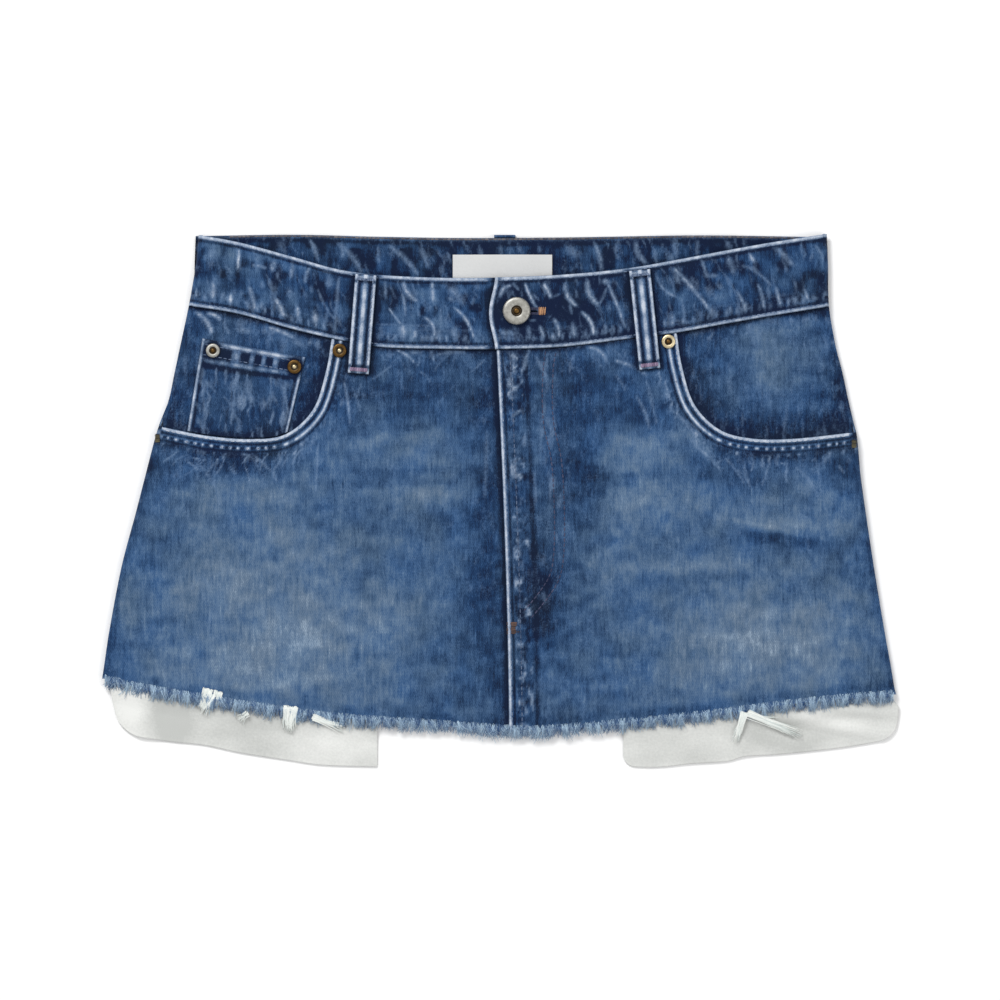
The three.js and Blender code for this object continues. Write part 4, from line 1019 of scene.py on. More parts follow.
class Graph:
    """A material's node tree, built by calls."""

    def __init__(self, name):
        self.material = bpy.data.materials.new(name)
        self.material.use_nodes = True
        self.tree = self.material.node_tree
        self.tree.nodes.clear()

    def add(self, kind, inputs=(), **settings):
        node = self.tree.nodes.new(kind)
        for key, value in settings.items():
            setattr(node, key, value)
        for key, value in dict(inputs).items():
            if isinstance(value, bpy.types.NodeSocket):
                self.tree.links.new(value, node.inputs[key])
            else:
                node.inputs[key].default_value = value
        return node

    def math(self, operation, a, b=0.0, clamp=False):
        return self.add("ShaderNodeMath", {0: a, 1: b}, operation=operation, use_clamp=clamp).outputs[0]

    def weighted(self, *terms):
        """The sum of value times weight over the terms."""
        total = 0.0
        for value, weight in terms:
            node = self.add("ShaderNodeMath", {0: value, 1: weight, 2: total}, operation="MULTIPLY_ADD")
            total = node.outputs[0]
        return total

    def millimetres(self, scale=(1, 1, 1), turn=0.0):
        """Object coordinates in millimetres, each axis scaled."""
        place = self.add("ShaderNodeTexCoord").outputs["Object"]
        inputs = {"Vector": place, "Rotation": (0, 0, turn), "Scale": [1000 * s for s in scale]}
        return self.add("ShaderNodeMapping", inputs, vector_type="POINT").outputs[0]

    def noise(self, scale, detail=2.0, rough=0.5, turn=0.0):
        """Noise about 0, from -0.5 to 0.5; scale is features for each millimetre along each axis."""
        inputs = {
            "Vector": self.millimetres(scale, turn), "Scale": 1.0, "Detail": detail, "Roughness": rough
        }
        made = self.add("ShaderNodeTexNoise", inputs, noise_dimensions="3D")
        return self.math("SUBTRACT", made.outputs["Fac"], 0.5)

    def wave(self, period, turn, distortion=1.0):
        """Ribs about 0 with a period in millimetres, turned from upright."""
        vector = self.millimetres((1, 1, 1), turn)
        inputs = {"Vector": vector, "Scale": 2 * math.pi / period / WAVE_RATE, "Distortion": distortion}
        inputs["Detail"] = 1.0
        made = self.add("ShaderNodeTexWave", inputs, wave_type="BANDS", bands_direction="X")
        return self.math("SUBTRACT", made.outputs["Fac"], 0.5)

    def ramp(self, value, *stops):
        """Colours by value: each stop is a place and an sRGB colour of 0 to 255."""
        node = self.add("ShaderNodeValToRGB", {"Fac": value})
        elements = node.color_ramp.elements
        while len(elements) < len(stops):
            elements.new(0.5)
        for element, (place, colour) in zip(elements, stops):
            element.position = place
            element.color = linear(colour)
        return node.outputs["Color"]

    def mix(self, share, a, b):
        inputs = {0: share, 6: a, 7: b}
        return self.add("ShaderNodeMix", inputs, data_type="RGBA").outputs[2]

    def share(self, name):
        return self.add("ShaderNodeAttribute", attribute_name=name).outputs["Fac"]

    def surface(self, colour, height=None, depth=0.0002, strength=1.0, **shader):
        """The shader itself, with a bump of that depth in metres."""
        inputs = {"Base Color": colour}
        if height is not None:
            bump = {"Height": height, "Distance": depth, "Strength": strength}
            inputs["Normal"] = self.add("ShaderNodeBump", bump).outputs[0]
        names = {
            "roughness": "Roughness", "metal": "Metallic", "sheen": "Sheen Weight",
            "sheen_roughness": "Sheen Roughness", "specular": "Specular IOR Level"
        }
        inputs.update({names[key]: value for key, value in shader.items()})
        made = self.add("ShaderNodeBsdfPrincipled", inputs)
        out = self.add("ShaderNodeOutputMaterial", {"Surface": made.outputs[0]})
        out.is_active_output = True
        return self.material


def linear(colour):
    """An sRGB colour of 0 to 255 as linear values."""
    share = [c / 255 for c in colour]
    return (*(s / 12.92 if s <= 0.04045 else ((s + 0.055) / 1.055) ** 2.4 for s in share), 1.0)


def denim_material(name, lightness=0.0):
    g = Graph(name)
    slub = g.noise((0.95, 0.1, 0.3), 3.0, 0.6)
    strand = g.noise((0.55, 0.07, 0.2), 1.0)
    strands = g.math("MULTIPLY", strand, g.math("MULTIPLY", strand, strand))
    thread = g.noise((2.2, 0.5, 0.6), 2.0)
    band = g.noise((0.02, 0.13, 0.05), 3.0, 0.55, 0.08)
    mottle = g.noise((0.16, 0.11, 0.2), 4.0, 0.6)
    cloud = g.noise((0.018, 0.022, 0.02), 3.0)
    speckle = g.noise((1.3, 0.9, 1.0), 3.0, 0.7)
    twill = g.wave(1.1, math.radians(-28), 0.6)
    # The dark share darkens the cloth as painted shade; the fade share carries wash fades and, in places,
    # painted shade
    tone = g.weighted(
        (g.share("fade"), 0.44), (g.share("dark"), -0.42), (cloud, 0.36), (mottle, 0.34), (band, 0.22),
        (slub, 0.46), (strands, 5.5), (thread, 0.22), (speckle, 0.44), (twill, 0.07)
    )
    tone = g.math("ADD", tone, 0.425 + lightness, clamp=True)
    blue = g.ramp(
        tone, (0.0, (10, 25, 54)), (0.2, (25, 54, 91)), (0.45, (53, 87, 130)), (0.7, (91, 118, 149)),
        (1.0, (146, 168, 190))
    )
    grey = g.ramp(
        tone, (0.0, (14, 28, 48)), (0.25, (36, 60, 90)), (0.5, (70, 95, 124)), (0.75, (102, 121, 143)),
        (1.0, (154, 172, 190))
    )
    hue = g.noise((0.05, 0.04, 0.05), 2.0)
    greyness = g.weighted((hue, 2.2), (g.share("fade"), 0.45))
    colour = g.mix(g.math("ADD", greyness, 0.5, clamp=True), blue, grey)
    uneven = g.weighted((mottle, 0.5), (speckle, 0.7), (g.share("worn"), 1.12))
    worn = g.math("ADD", uneven, -0.08, clamp=True)
    light = g.ramp(worn, (0.0, (84, 114, 152)), (0.5, (118, 142, 173)), (1.0, (190, 199, 213)))
    colour = g.mix(worn, colour, light)
    height = g.weighted((twill, 0.3), (slub, 0.8), (thread, 0.35), (speckle, 0.7), (mottle, 0.8))
    return g.surface(
        colour, height, 0.0005, 0.7, roughness=0.9, sheen=0.05, sheen_roughness=0.5, specular=0.15
    )


def cotton_material(name, light, shade):
    g = Graph(name)
    cloud = g.noise((0.02, 0.03, 0.02), 2.0)
    weave = g.math("MULTIPLY", g.wave(0.6, 0.0, 0.3), g.wave(0.6, math.pi / 2, 0.3))
    fuzz = g.noise((0.7, 0.7, 0.7), 3.0)
    # The fade share lays the bags' painted shade and highlights
    tone = g.weighted((cloud, 1.0), (fuzz, 0.4), (g.share("fade"), 0.55))
    colour = g.ramp(g.math("ADD", tone, 0.5, clamp=True), (0.2, shade), (0.8, light))
    height = g.weighted((weave, 0.8), (fuzz, 0.6), (cloud, 2.0))
    return g.surface(colour, height, 0.0003, 0.5, roughness=0.92, sheen=0.1, specular=0.2)


def thread_material(name, dark, light):
    """A twisted thread: its tone share runs from the dark to the light colour."""
    g = Graph(name)
    fuzz = g.noise((1.6, 1.6, 1.6), 2.0)
    tone = g.math("ADD", g.weighted((fuzz, 0.6), (g.share("tone"), 1.0)), 0.0, clamp=True)
    colour = g.ramp(tone, (0.0, dark), (1.0, light))
    twist = g.wave(0.35, math.radians(35), 0.2)
    return g.surface(colour, twist, 0.0001, 0.6, roughness=0.85, sheen=0.15, specular=0.25)


def metal_material(name, bright, dull, roughness):
    g = Graph(name)
    patina = g.noise((0.5, 0.5, 0.5), 4.0, 0.65)
    scratch = g.noise((4.0, 0.4, 1.0), 2.0, 0.5, 0.6)
    tone = g.math("ADD", g.weighted((patina, 1.6), (scratch, 0.5)), 0.6, clamp=True)
    colour = g.ramp(tone, (0.1, dull), (0.8, bright))
    height = g.weighted((patina, 1.0), (scratch, 0.3))
    return g.surface(colour, height, 0.0001, 0.4, roughness=roughness, metal=1.0)


denim = denim_material("denim")
dark_denim = denim_material("denim_unfaded", -0.05)
bag_cotton = cotton_material("bag_cotton", (230, 231, 228), (190, 192, 189))
label_tape = cotton_material("label_tape", (208, 209, 209), (196, 197, 197))
frayed_yarn = thread_material("frayed_yarn", (44, 84, 134), (184, 210, 230))
white_yarn = thread_material("white_yarn", (205, 216, 214), (246, 248, 244))
nickel = metal_material("worn_nickel", (176, 175, 169), (130, 129, 123), 0.5)
brass = metal_material("worn_brass", (110, 84, 48), (64, 48, 28), 0.45)
pale_brass = metal_material("pale_brass", (224, 210, 174), (180, 158, 116), 0.4)
shadow_metal = metal_material("dark_metal", (74, 64, 52), (38, 34, 30), 0.5)
zip_tape = denim_material("zip_tape", -0.12)

# Cloth pieces


def cloth(name, grids, material, slot, node, on=None, area=None, every=2, hole=None, rim_worn=0.0):
    """A cloth piece from its outer and inner grids and its skin. What its sheet lies on is not used."""
    outer, inner, made = grids
    points, faces = shell(outer, inner, every, hole)
    piece = build(name, points, faces, material, slot, node, shell_colour_shares(made, every, rim_worn))
    said = {"rests_on": [on]} if on else {}
    if area:
        said["area"] = area


def front_panel(side):
    """A front panel's grids: columns from the side through the pocket's mouth to the fly."""
    centre_x = (lambda y: fly_x(y) + FLY_UNDERLAP) if side == "right" else fly_x
    hip_x, hip_y = MOUTH[side][0]
    start_x = lambda y: side_x(side, y) + INWARD[side] * FOLD_RADIUS
    share = lambda x, y: (x - start_x(y)) / (centre_x(y) - start_x(y))
    hip_foot, hip_top = share(hip_x, hem_y(hip_x)), share(hip_x, hip_y)
    t = np.linspace(0, 1, 161)
    mouth = spline(MOUTH[side], 1 - t)
    tops, feet, heights = share(mouth[:, 0], mouth[:, 1]), hip_foot * t, mouth[:, 1]
    tops[0] = 0
    end_x = centre_x(FLY_TOP_Y)
    way = graded(abs(end_x - hip_x), PANEL_STEP, 13, 9 if side == "left" else 0)[1:]
    seam_x = lerp(hip_x, end_x, way)
    seam_y = band_seam(seam_x) - SEAM_GAP
    seam_tops = share(seam_x, seam_y)
    tops = np.concatenate([tops, seam_tops])
    feet = np.concatenate([feet, lerp(hip_foot, 1, (seam_tops - hip_top) / (1 - hip_top))])
    heights = np.concatenate([heights, seam_y])
    angles = with_fold(np.full(len(tops), 90.0), FOLD_ANGLES)
    if len(angles) % 2 == 0:
        angles = angles[1:]
    folds = len(angles) - len(tops)
    tops, feet = (np.concatenate([np.zeros(folds), v])[:, None] for v in (tops, feet))
    heights = np.concatenate([np.full(folds, MOUTH_SIDE_Y[side]), heights])[:, None]
    on_fold = angles[:, None] < 90
    foot_x = lambda y: np.where(on_fold, side_x(side, y), lerp(start_x(y), centre_x(y), feet))
    rows = graded(200, PANEL_STEP + 0.15, 14, 4)[None, :]
    y = lerp(heights, meet(foot_x, hem_y, len(angles)), rows)
    x = np.where(on_fold, side_x(side, y), lerp(start_x(y), centre_x(y), lerp(tops, feet, rows)))
    return folded(side, x, y, angles, PANEL_LEVEL[side], panel_skin(side)(x, y), DENIM)


def pocket_facing(side):
    inner = MOUTH[side][0][0] + INWARD[side] * FACING_INNER_MARGIN
    tuck = (MOUTH_SIDE_Y[side] + 0.5, MOUTH_SIDE_Y[side] + 7)
    return side_piece(
        side, facing_level, DENIM, lambda y: inner + 0 * y, lambda x: band_seam(x) - SEAM_GAP,
        lambda x: FACING_BOTTOM_Y + 0 * x, shares(abs(MOUTH[side][-1][0] - inner), 1.2, False, False),
        shares(100, 1.2, True, False), facing_skin(side),
        inset=lambda y: (FOLD_RADIUS - 0.8) * (1 - smoothstep(y, *tuck))
    )


def lap_end(y):
    return FRONT_LAP_X - FRONT_LAP_BULGE * hump(y - 116, 24)


def back_band_grids():
    """The back band runs from fold to fold; its inner face shows through the waist."""
    flat_start = lambda side, y: side_x(side, y) + INWARD[side] * FOLD_RADIUS
    seam_y = back_seam(190.0)
    ends = [flat_start(side, seam_y) for side in ("right", "left")]
    way = shares(ends[1] - ends[0], BAND_STEP + 0.15, False, False)
    flat_x = lerp(ends[0], ends[1], way)
    angles = np.concatenate([FOLD_ANGLES, np.full(len(flat_x), 90.0), FOLD_ANGLES[::-1]])[:, None]
    right = np.arange(len(angles))[:, None] < len(angles) / 2
    on_fold = angles < 90
    pad = len(FOLD_ANGLES)
    plain_x = np.pad(flat_x, pad)[:, None]
    fold_x = np.where(right, side_x("right", BAND_MIDDLE_Y), side_x("left", BAND_MIDDLE_Y))
    rows = shares(BAND_HEIGHT, BAND_STEP + 0.1)[None, :]
    y = back_top(np.where(on_fold, fold_x, plain_x)) - rows * BAND_HEIGHT
    narrowed = plain_x * (flat_start("left", y) / ends[1])
    skin = back_band_skin(narrowed, y)
    grids = []
    turn = np.radians(angles)
    for face in (0, 1):
        offset = face * BAND
        distance = offset + (FOLD_RADIUS - offset) * (1 - np.cos(turn))
        fold = np.where(right, side_x("right", y) + distance, side_x("left", y) - distance)
        x = np.where(on_fold, fold, narrowed)
        relief = skin.relief * np.sin(turn) * face
        z = lerp(FOLD_SEAM_Z - SEAM_GAP / 2, loop_rise(x, y) + offset + relief, np.sin(turn))
        grids.append(np.stack([x, y, z], axis=2))
    return grids[1], grids[0], skin


def plain_grid(x, y, top_z, thickness, made):
    """Outer and inner grids of a flat piece from its places and its upper height."""
    return np.stack([x, y, top_z + made.relief], axis=2), np.stack([x, y, top_z - thickness], axis=2), made


def coin_pocket():
    (ox, oy, ofoot), (ix, iy, ifoot) = COIN_POCKET["outer"], COIN_POCKET["inner"]
    across, down = shares(COIN_WIDTH, 0.8)[:, None], shares(COIN_HEIGHT, 0.8, True, False)[None, :]
    foot_x = lerp(ofoot, ifoot, across)
    mouth = np.array(MOUTH["right"][2:])
    foot_y = along({"x": mouth[:, 0], "y": mouth[:, 1]}, "x", "y", foot_x) + 0.8
    x = lerp(lerp(ox, ix, across), foot_x, down)
    y = lerp(lerp(oy, iy, across), foot_y, down)
    made = Skin(x, y)
    width, from_top = across * COIN_WIDTH + 0 * x, down * COIN_HEIGHT + 0 * x
    below_hem = smoothstep(from_top, 12, 15)
    made.mark(streaks(x, y, 1.8, 10, 61, 0.5, 0.85) * below_hem, relief=0.16, worn=0.5)
    made.mark(streaks(x + 0.4 * y, y, 2.6, 9, 66, 0.5, 0.9) * below_hem, relief=0.16, worn=0.4)
    rungs = np.clip(np.cos(2 * np.pi * (width - 12) / 9.2 + 1.5 * np.sin(width / 6.1)), 0, 1) ** 0.6
    made.mark(bell(from_top - 6, 3.4) * (1 - rungs), relief=-0.2, dark=0.9)
    made.mark(bell(from_top - 6, 3.2) * rungs, relief=0.34, worn=0.62)
    made.mark(bell(from_top - 1.7, 1.4) * (0.62 + 0.38 * wobble(width, 9)), relief=0.28, worn=0.95)
    made.mark(bell(from_top - 10.6, 1.3) * (0.4 + 0.6 * wobble(width, 8, 2)), relief=0.3, worn=0.75)
    # Painted shade in the groove below the pocket's hem
    made.line(from_top - 13.4, 1.3, relief=-0.25, dark=0.95)
    made.rolled(from_top, 0.5)
    for edge in (width, COIN_WIDTH - width):
        made.edge_line(edge, from_top, worn=0.85, width=1.0, groove=3.0)
    # Painted shade round the rivet heads, where the wear is cleared
    for place in ("rivet_coin_outer", "rivet_coin_inner"):
        away = np.hypot(x - RIVETS[place][0], y - RIVETS[place][1])
        ring = bell(np.maximum(away - 4.4, 0), 2.2)
        made.clear(ring)
        made.mark(ring, dark=0.9)
    # Painted shade along the pocket's foot, at the mouth's edge
    made.line(y - foot_y, 3.5, dark=0.8)
    made.fade = made.fade - 0.38
    return plain_grid(x, y, coin_level(x, y), COIN, made)


def front_loop(side):
    top_x, lean, overhang = FRONT_LOOPS[side]
    across, down = shares(LOOP_WIDTH, 0.6)[:, None], shares(LOOP_LENGTH, 0.8)[None, :]
    tilt = math.atan2(lean, LOOP_LENGTH)
    u = (across - 0.5) * LOOP_WIDTH + 0 * down
    x = top_x + lean * down + u * math.cos(tilt)
    y = band_top(top_x) + overhang - down * LOOP_LENGTH + u * math.sin(tilt)
    on_band = smoothstep(y, band_seam(x) - 9, band_seam(x) - 2)
    seat = lerp(PANEL_LEVEL[side](x, y), BAND_LEVEL[side](x, y), on_band)
    stand_off = LAYER_GAP + 1.1 * np.clip(np.sin(np.pi * down), 0, 1) ** 0.7
    made = Skin(x, y)
    way = down * LOOP_LENGTH + 0 * x
    for edge in (u + LOOP_WIDTH / 2, LOOP_WIDTH / 2 - u):
        made.edge_line(edge, way, worn=1.0, width=1.15, groove=3.2, depth=0.6)
    made.line(u, 1.9, relief=0.45)
    made.mark(np.clip(1.25 * bell(u, 1.7), 0, 1) * (0.65 + 0.35 * wobble(way, 11, 1)), worn=1.0)
    for end in (way, LOOP_LENGTH - way):
        # Painted shade in the groove at each end's tack
        made.line(end - 4.4, 1.2, relief=-0.4, dark=0.95)
        made.clear(0.7 * bell(end - 4.4, 1.2))
        made.line(end - 1.6, 1.4, worn=0.7)
        made.rolled(end, 0.8)
    made.fade = made.fade - 0.4
    return plain_grid(x, y, seat + stand_off + LOOP, LOOP, made)


# The centre back loop's turned-up end: height of its outer face, how far that is inside the loop's end,
# and height of its inner face
TURNED_UP = (
    (3.6, 1.6, 3.2), (3.66, 1.0, 3.1), (3.5, 0.4, 3.0), (3.1, 0.1, 2.8), (2.4, 0.0, 2.4), (1.6, 0.0, 1.9),
    (0.8, 0.0, 1.4), (0.3, 0.15, 1.1)
)


def back_loop(place):
    """Pressed flat under the band; the centre one turns up over the band's edge."""
    loop_x, overhang = BACK_LOOPS[place]
    across = shares(LOOP_WIDTH, 1.0)[:, None]
    down = shares(LOOP_LENGTH, 1.2)[None, :] * LOOP_LENGTH
    top = back_top(loop_x) + overhang
    lower_z, upper_z = 0 * down, 0 * down + FLAT_LOOP
    lower_y, upper_y = top - down, top - down
    if place == "centre":
        turn = np.array(TURNED_UP).T[:, None, :]
        edge = back_top(loop_x) + SEAM_GAP
        lower_z = np.concatenate([turn[0], lower_z], axis=1)
        upper_z = np.concatenate([turn[2], upper_z], axis=1)
        upper_y = np.concatenate([0 * turn[1] + edge, np.minimum(upper_y, edge)], axis=1)
        lower_y = np.concatenate([top - turn[1], lower_y], axis=1)
    x = loop_x + (across - 0.5) * LOOP_WIDTH + 0 * lower_y
    made = Skin(x, lower_y + 0 * x)
    u = x - loop_x
    for from_edge in (u + LOOP_WIDTH / 2, LOOP_WIDTH / 2 - u):
        made.line(from_edge - 0.8, 0.8, worn=0.7)
    made.line(u, 1.4, worn=0.5)
    turned_up = smoothstep(lower_z + 0 * x, 1, 3)
    made.clear(0.6 * turned_up)
    made.mark(turned_up, fade=-0.5)
    lower = np.stack([x, lower_y + 0 * x, lower_z + 0 * x], axis=2)
    upper = np.stack([x, upper_y + 0 * x, upper_z + 0 * x], axis=2)
    return lower, upper, made


BAG_RIDGES = {
    "right": ((-170, -140, 40, 6, 0.6, 84), (-110, -148, 30, 7, 0.5, 92), (-228, -130, 22, 8, 0.6, 12)),
    "left": (
        (222, -131, 34, 3.2, 1.2, 84), (210, -141, 40, 3.6, 1.1, 80), (150, -150, 14, 6, 1.0, 24),
        (116, -152, 26, 9, 0.6, 70), (190, -134, 30, 4, 0.9, 96)
    )
}
# Painted shade and highlights on the bags' folds and under the hem: x, y, half width, half height, lean in
# degrees, amount
BAG_PAINTED_LIGHT = {
    "right": (
        (-228, -132, 12, 26, 0, 0.75), (-204, -136, 12, 22, 8, -0.95), (-160, -140, 50, 14, 0, -0.2),
        (-100, -152, 30, 9, 0, 0.3), (-130, -138, 40, 5, 4, -0.25)
    ),
    "left": (
        (163, -148, 20, 5, -18, -0.4), (178, -138, 34, 5, -12, -0.6), (217, -141, 24, 9, 0, 0.65),
        (206, -147, 24, 4, 10, -0.15), (110, -152, 26, 10, 0, 0.15)
    )
}


def bag_creases(side, x, y):
    """Soft folds of a pocket bag, and the step where its side is turned in, in millimetres."""
    if side == "right":
        step = 0.9 * (1 - smoothstep(x, -219, -206)) + 0.35 * bell(x + 221, 5)
    else:
        step = 0.7 * smoothstep(x, 233, 242)
    return ridges(x, y, BAG_RIDGES[side], 1.3, step + 0 * y)


def pocket_bag(side):
    bag = BAGS[side]
    sign = INWARD[side]
    outer_x = lambda y: lerp(
        along(bag["outer"], "y", "x", y), side_x(side, y) + sign * BAG_SIDE_MARGIN, smoothstep(y, -112, -96)
    )
    corner = lambda d, r: np.where(d >= r, 0, r - np.sqrt(np.maximum(r**2 - np.maximum(r - d, 0) ** 2, 0)))
    width = abs(bag["inner_x"] - outer_x(np.array(BAG_WIDTH_Y)))
    across = shares(float(width), 1.7)[:, None]
    upper = np.linspace(BAG_TOP_Y, -100, 41)
    below = np.concatenate([np.arange(-4, 16, 1.2), [17.0]])
    foot_x = lerp(outer_x(np.full_like(across, BAG_WIDTH_Y)), bag["inner_x"], across)
    lift = corner(across * width, bag["outer_radius"]) + corner((1 - across) * width, bag["inner_radius"])
    end = along(bag["bottom"], "x", "y", foot_x) + lift
    hem = hem_y(foot_x)
    last = (shares(20, 1.1, False, True) * 20)[1:] / 20
    start_y = hem - below[-1]
    hidden = np.broadcast_to(upper, (len(across), len(upper)))
    y = np.concatenate([hidden, hem - below[None, :], lerp(start_y, end, last[None, :])], axis=1)
    if y.shape[1] % 2 == 0:
        y = np.delete(y, 1, axis=1)
    y = np.minimum.accumulate(y, axis=1)
    x = lerp(outer_x(y), bag["inner_x"], across)
    made = Skin(x, y)
    shown = smoothstep(hem_y(x) - y, -6, 3)
    made.relief = bag_creases(side, x, y) * shown
    from_end = y - end
    made.line(from_end - 2.0, 0.8, relief=-0.06)
    made.fade_and_shade_patches(BAG_PAINTED_LIGHT[side])
    # Painted shadow on the bag just below the hem
    made.mark(smoothstep(y, hem_y(x) - 10, hem_y(x) - 2), fade=-0.3)
    for edge in (np.abs(x - outer_x(y)), np.abs(x - bag["inner_x"])):
        made.rolled(edge, 0.4)
    made.rolled(np.maximum(from_end, 0), 0.4)
    base = 1.6 * (1 - smoothstep(hem_y(x) - y, *BAG_SETTLE)) + loop_rise(x, y)
    return plain_grid(x, y, base + BAG, BAG, made)


for side in ("right", "left"):
    sign = INWARD[side]
    facing, bag = f"pocket_facing_{side}", f"pocket_bag_{side}"
    cloth(
        f"{side}_front_panel", front_panel(side), denim, "denim", f"front_panel_{side}",
        facing, 0.052, rim_worn=0.6
    )
    cloth(
        f"{side}_pocket_facing", pocket_facing(side), dark_denim, "denim_unfaded", facing,
        bag, 0.0125
    )
    cloth(
        f"{side}_pocket_bag", pocket_bag(side), bag_cotton, "bag_cotton", bag,
        f"back_panel_{side}", 0.041, every=1
    )
    cloth(
        f"{side}_front_belt_loop", front_loop(side), denim, "denim", f"belt_loop_front_{side}",
        f"waistband_front_{side}"
    )
    back = side_piece(
        side, loop_rise, DENIM, lambda y: BACK_MIDDLE_X - sign * SEAM_GAP / 2 + 0 * y,
        lambda x: back_seam(x) - SEAM_GAP, back_hem_y, shares(235, 2.4, False, True), shares(250, 2.4),
        back_skin, front=False
    )
    back[0][..., 2] = np.maximum(back[0][..., 2], 0)
    cloth(
        f"{side}_back_panel", back, denim, "denim", f"back_panel_{side}", area=0.058,
        rim_worn=0.6
    )

band_rows = shares(BAND_HEIGHT, BAND_STEP)
right_band = side_piece(
    "right", right_band_level, BAND, lambda y: BAND_UNDERLAP_X + 0 * y, band_top, band_seam,
    shares(215, BAND_STEP, False, True), band_rows, band_skin("right")
)
left_band = side_piece(
    "left", left_band_level, BAND, lap_end, band_top, band_seam, shares(208, BAND_STEP, False, True),
    band_rows, band_skin("left")
)
cloth(
    "right_front_band", right_band, denim, "denim", "waistband_front_right", "waistband_back"
)
SLIT_X = (12.0, 24.4)


def slit_place(outer):
    """The even columns and rows of the left band's grid round the buttonhole's slit."""
    middle = outer.shape[1] // 2
    x = outer[:, middle, 0]
    columns = np.flatnonzero((x > SLIT_X[0]) & (x < SLIT_X[1]))
    first, last = columns[0] + columns[0] % 2, columns[-1] - columns[-1] % 2
    row = int(np.argmin(np.abs(outer[(first + last) // 2, :, 1] - BUTTON[1])))
    row -= row % 2
    return int(first), int(last), row, row + 2


cloth(
    "left_front_band", left_band, denim, "denim", "waistband_front_left",
    "right_front_band", hole=slit_place(left_band[0])
)
cloth("back_band", back_band_grids(), dark_denim, "denim", "waistband_back")
cloth(
    "coin_pocket_cloth", coin_pocket(), dark_denim, "denim_unfaded", "coin_pocket",
    "pocket_facing_right", 0.0031
)
for place in BACK_LOOPS:
    cloth(f"back_belt_loop_{place}", back_loop(place), denim, "denim", f"belt_loop_back_{place}")


def label_grids():
    across, down = shares(62, 1.0)[:, None], shares(22, 1.0)[None, :]
    x = lerp(LABEL_SIZE["from_x"], LABEL_SIZE["to_x"], across) + 0 * down
    y = lerp(LABEL_SIZE["top"], LABEL_SIZE["bottom"], down) + 0 * across
    made = Skin(x, y)
    made.line(LABEL_SIZE["to_x"] - 3.2 - x, 0.4, relief=-0.2)
    made.line(x - LABEL_SIZE["from_x"] - 3.2, 0.4, relief=-0.2)
    made.rolled(LABEL_SIZE["top"] - y, 0.4)
    return plain_grid(x, y, label_level(x, y), LABEL, made)


cloth("blank_label", label_grids(), label_tape, "label_tape", "label", "waistband_back")

# Sewing

GRAIN_RINGS = ((-0.5, 0.0), (-0.4, 0.7), (-0.18, 1.0), (0.18, 1.0), (0.4, 0.7), (0.5, 0.0))
GRAIN_SIDES = 6
STITCH_REACH = 0.4


def grains(places, length, width, height):
    """Rounded grains of thread on the cloth. Each place is x, y, z, heading, climb and tone."""
    turn = np.arange(GRAIN_SIDES) * 2 * np.pi / GRAIN_SIDES
    template = [
        (along_it * length, radius * width / 2 * math.cos(a), radius * height / 2 * math.sin(a))
        for along_it, radius in GRAIN_RINGS[1:-1]
        for a in turn
    ]
    template = np.array(template + [(-0.5 * length, 0, 0), (0.5 * length, 0, 0)])
    rings = len(GRAIN_RINGS) - 2
    faces = []
    last = (rings - 1) * GRAIN_SIDES
    for k in range(GRAIN_SIDES):
        after = (k + 1) % GRAIN_SIDES
        starts = range(0, last, GRAIN_SIDES)
        faces += [(r + k, r + after, r + GRAIN_SIDES + after, r + GRAIN_SIDES + k) for r in starts]
        faces += [(len(template) - 2, after, k), (len(template) - 1, last + k, last + after)]
    x, y, z, heading, climb, tone = np.asarray(places, float).T
    cos, sin = np.cos(heading)[:, None], np.sin(heading)[:, None]
    px, py, pz = template.T[:, None, :]
    turned_x = x[:, None] + px * cos - py * sin
    turned_y = y[:, None] + px * sin + py * cos
    points = np.stack([turned_x, turned_y, z[:, None] + pz + px * climb[:, None]], axis=2)
    shifted = [tuple(i + n * len(template) for i in face) for n in range(len(x)) for face in faces]
    return points.reshape(-1, 3), shifted, np.repeat(tone, len(template))


def row_places(path, pitch, surface, lift, tones, seed, quarter=0.0):
    """Places for stitches along a line, on a surface given by its height; quarter 1 lays them across it."""
    path = np.asarray(path, float)
    way = np.concatenate([[0], np.cumsum(np.hypot(*np.diff(path, axis=0).T))])
    at = np.arange(pitch / 2, way[-1], pitch)
    place = lambda at: np.array([np.interp(at, way, column) for column in path.T])
    x, y = place(at)
    dx, dy = place(at + STITCH_REACH) - place(at - STITCH_REACH)
    rise = surface(x + dx, y + dy) - surface(x - dx, y - dy)
    climb = np.clip(rise / (2 * np.hypot(dx, dy)), -0.6, 0.6)
    rng = np.random.default_rng(seed)
    heading = np.arctan2(dy, dx) + rng.uniform(-0.06, 0.06, len(x)) + quarter * math.pi / 2
    tone = rng.uniform(*tones, len(x))
    return np.stack([x, y, surface(x, y) + lift, heading, climb, tone], axis=1)


def satin(corner_a, corner_b, surface, lift, pitch, seed):
    """A bar of close threads across the line between two points."""
    (ax, ay), (bx, by) = corner_a, corner_b
    count = max(3, round(math.hypot(bx - ax, by - ay) / pitch))
    t = (np.arange(count) + 0.5) / count
    rng = np.random.default_rng(seed)
    x, y = lerp(ax, bx, t), lerp(ay, by, t)
    heading = math.atan2(by - ay, bx - ax) + math.pi / 2 + rng.uniform(-0.12, 0.12, count)
    z = surface(x, y) + lift + rng.uniform(-0.05, 0.08, count)
    return np.stack([x, y, z, heading, 0 * x, rng.uniform(0, 1, count)], axis=1)


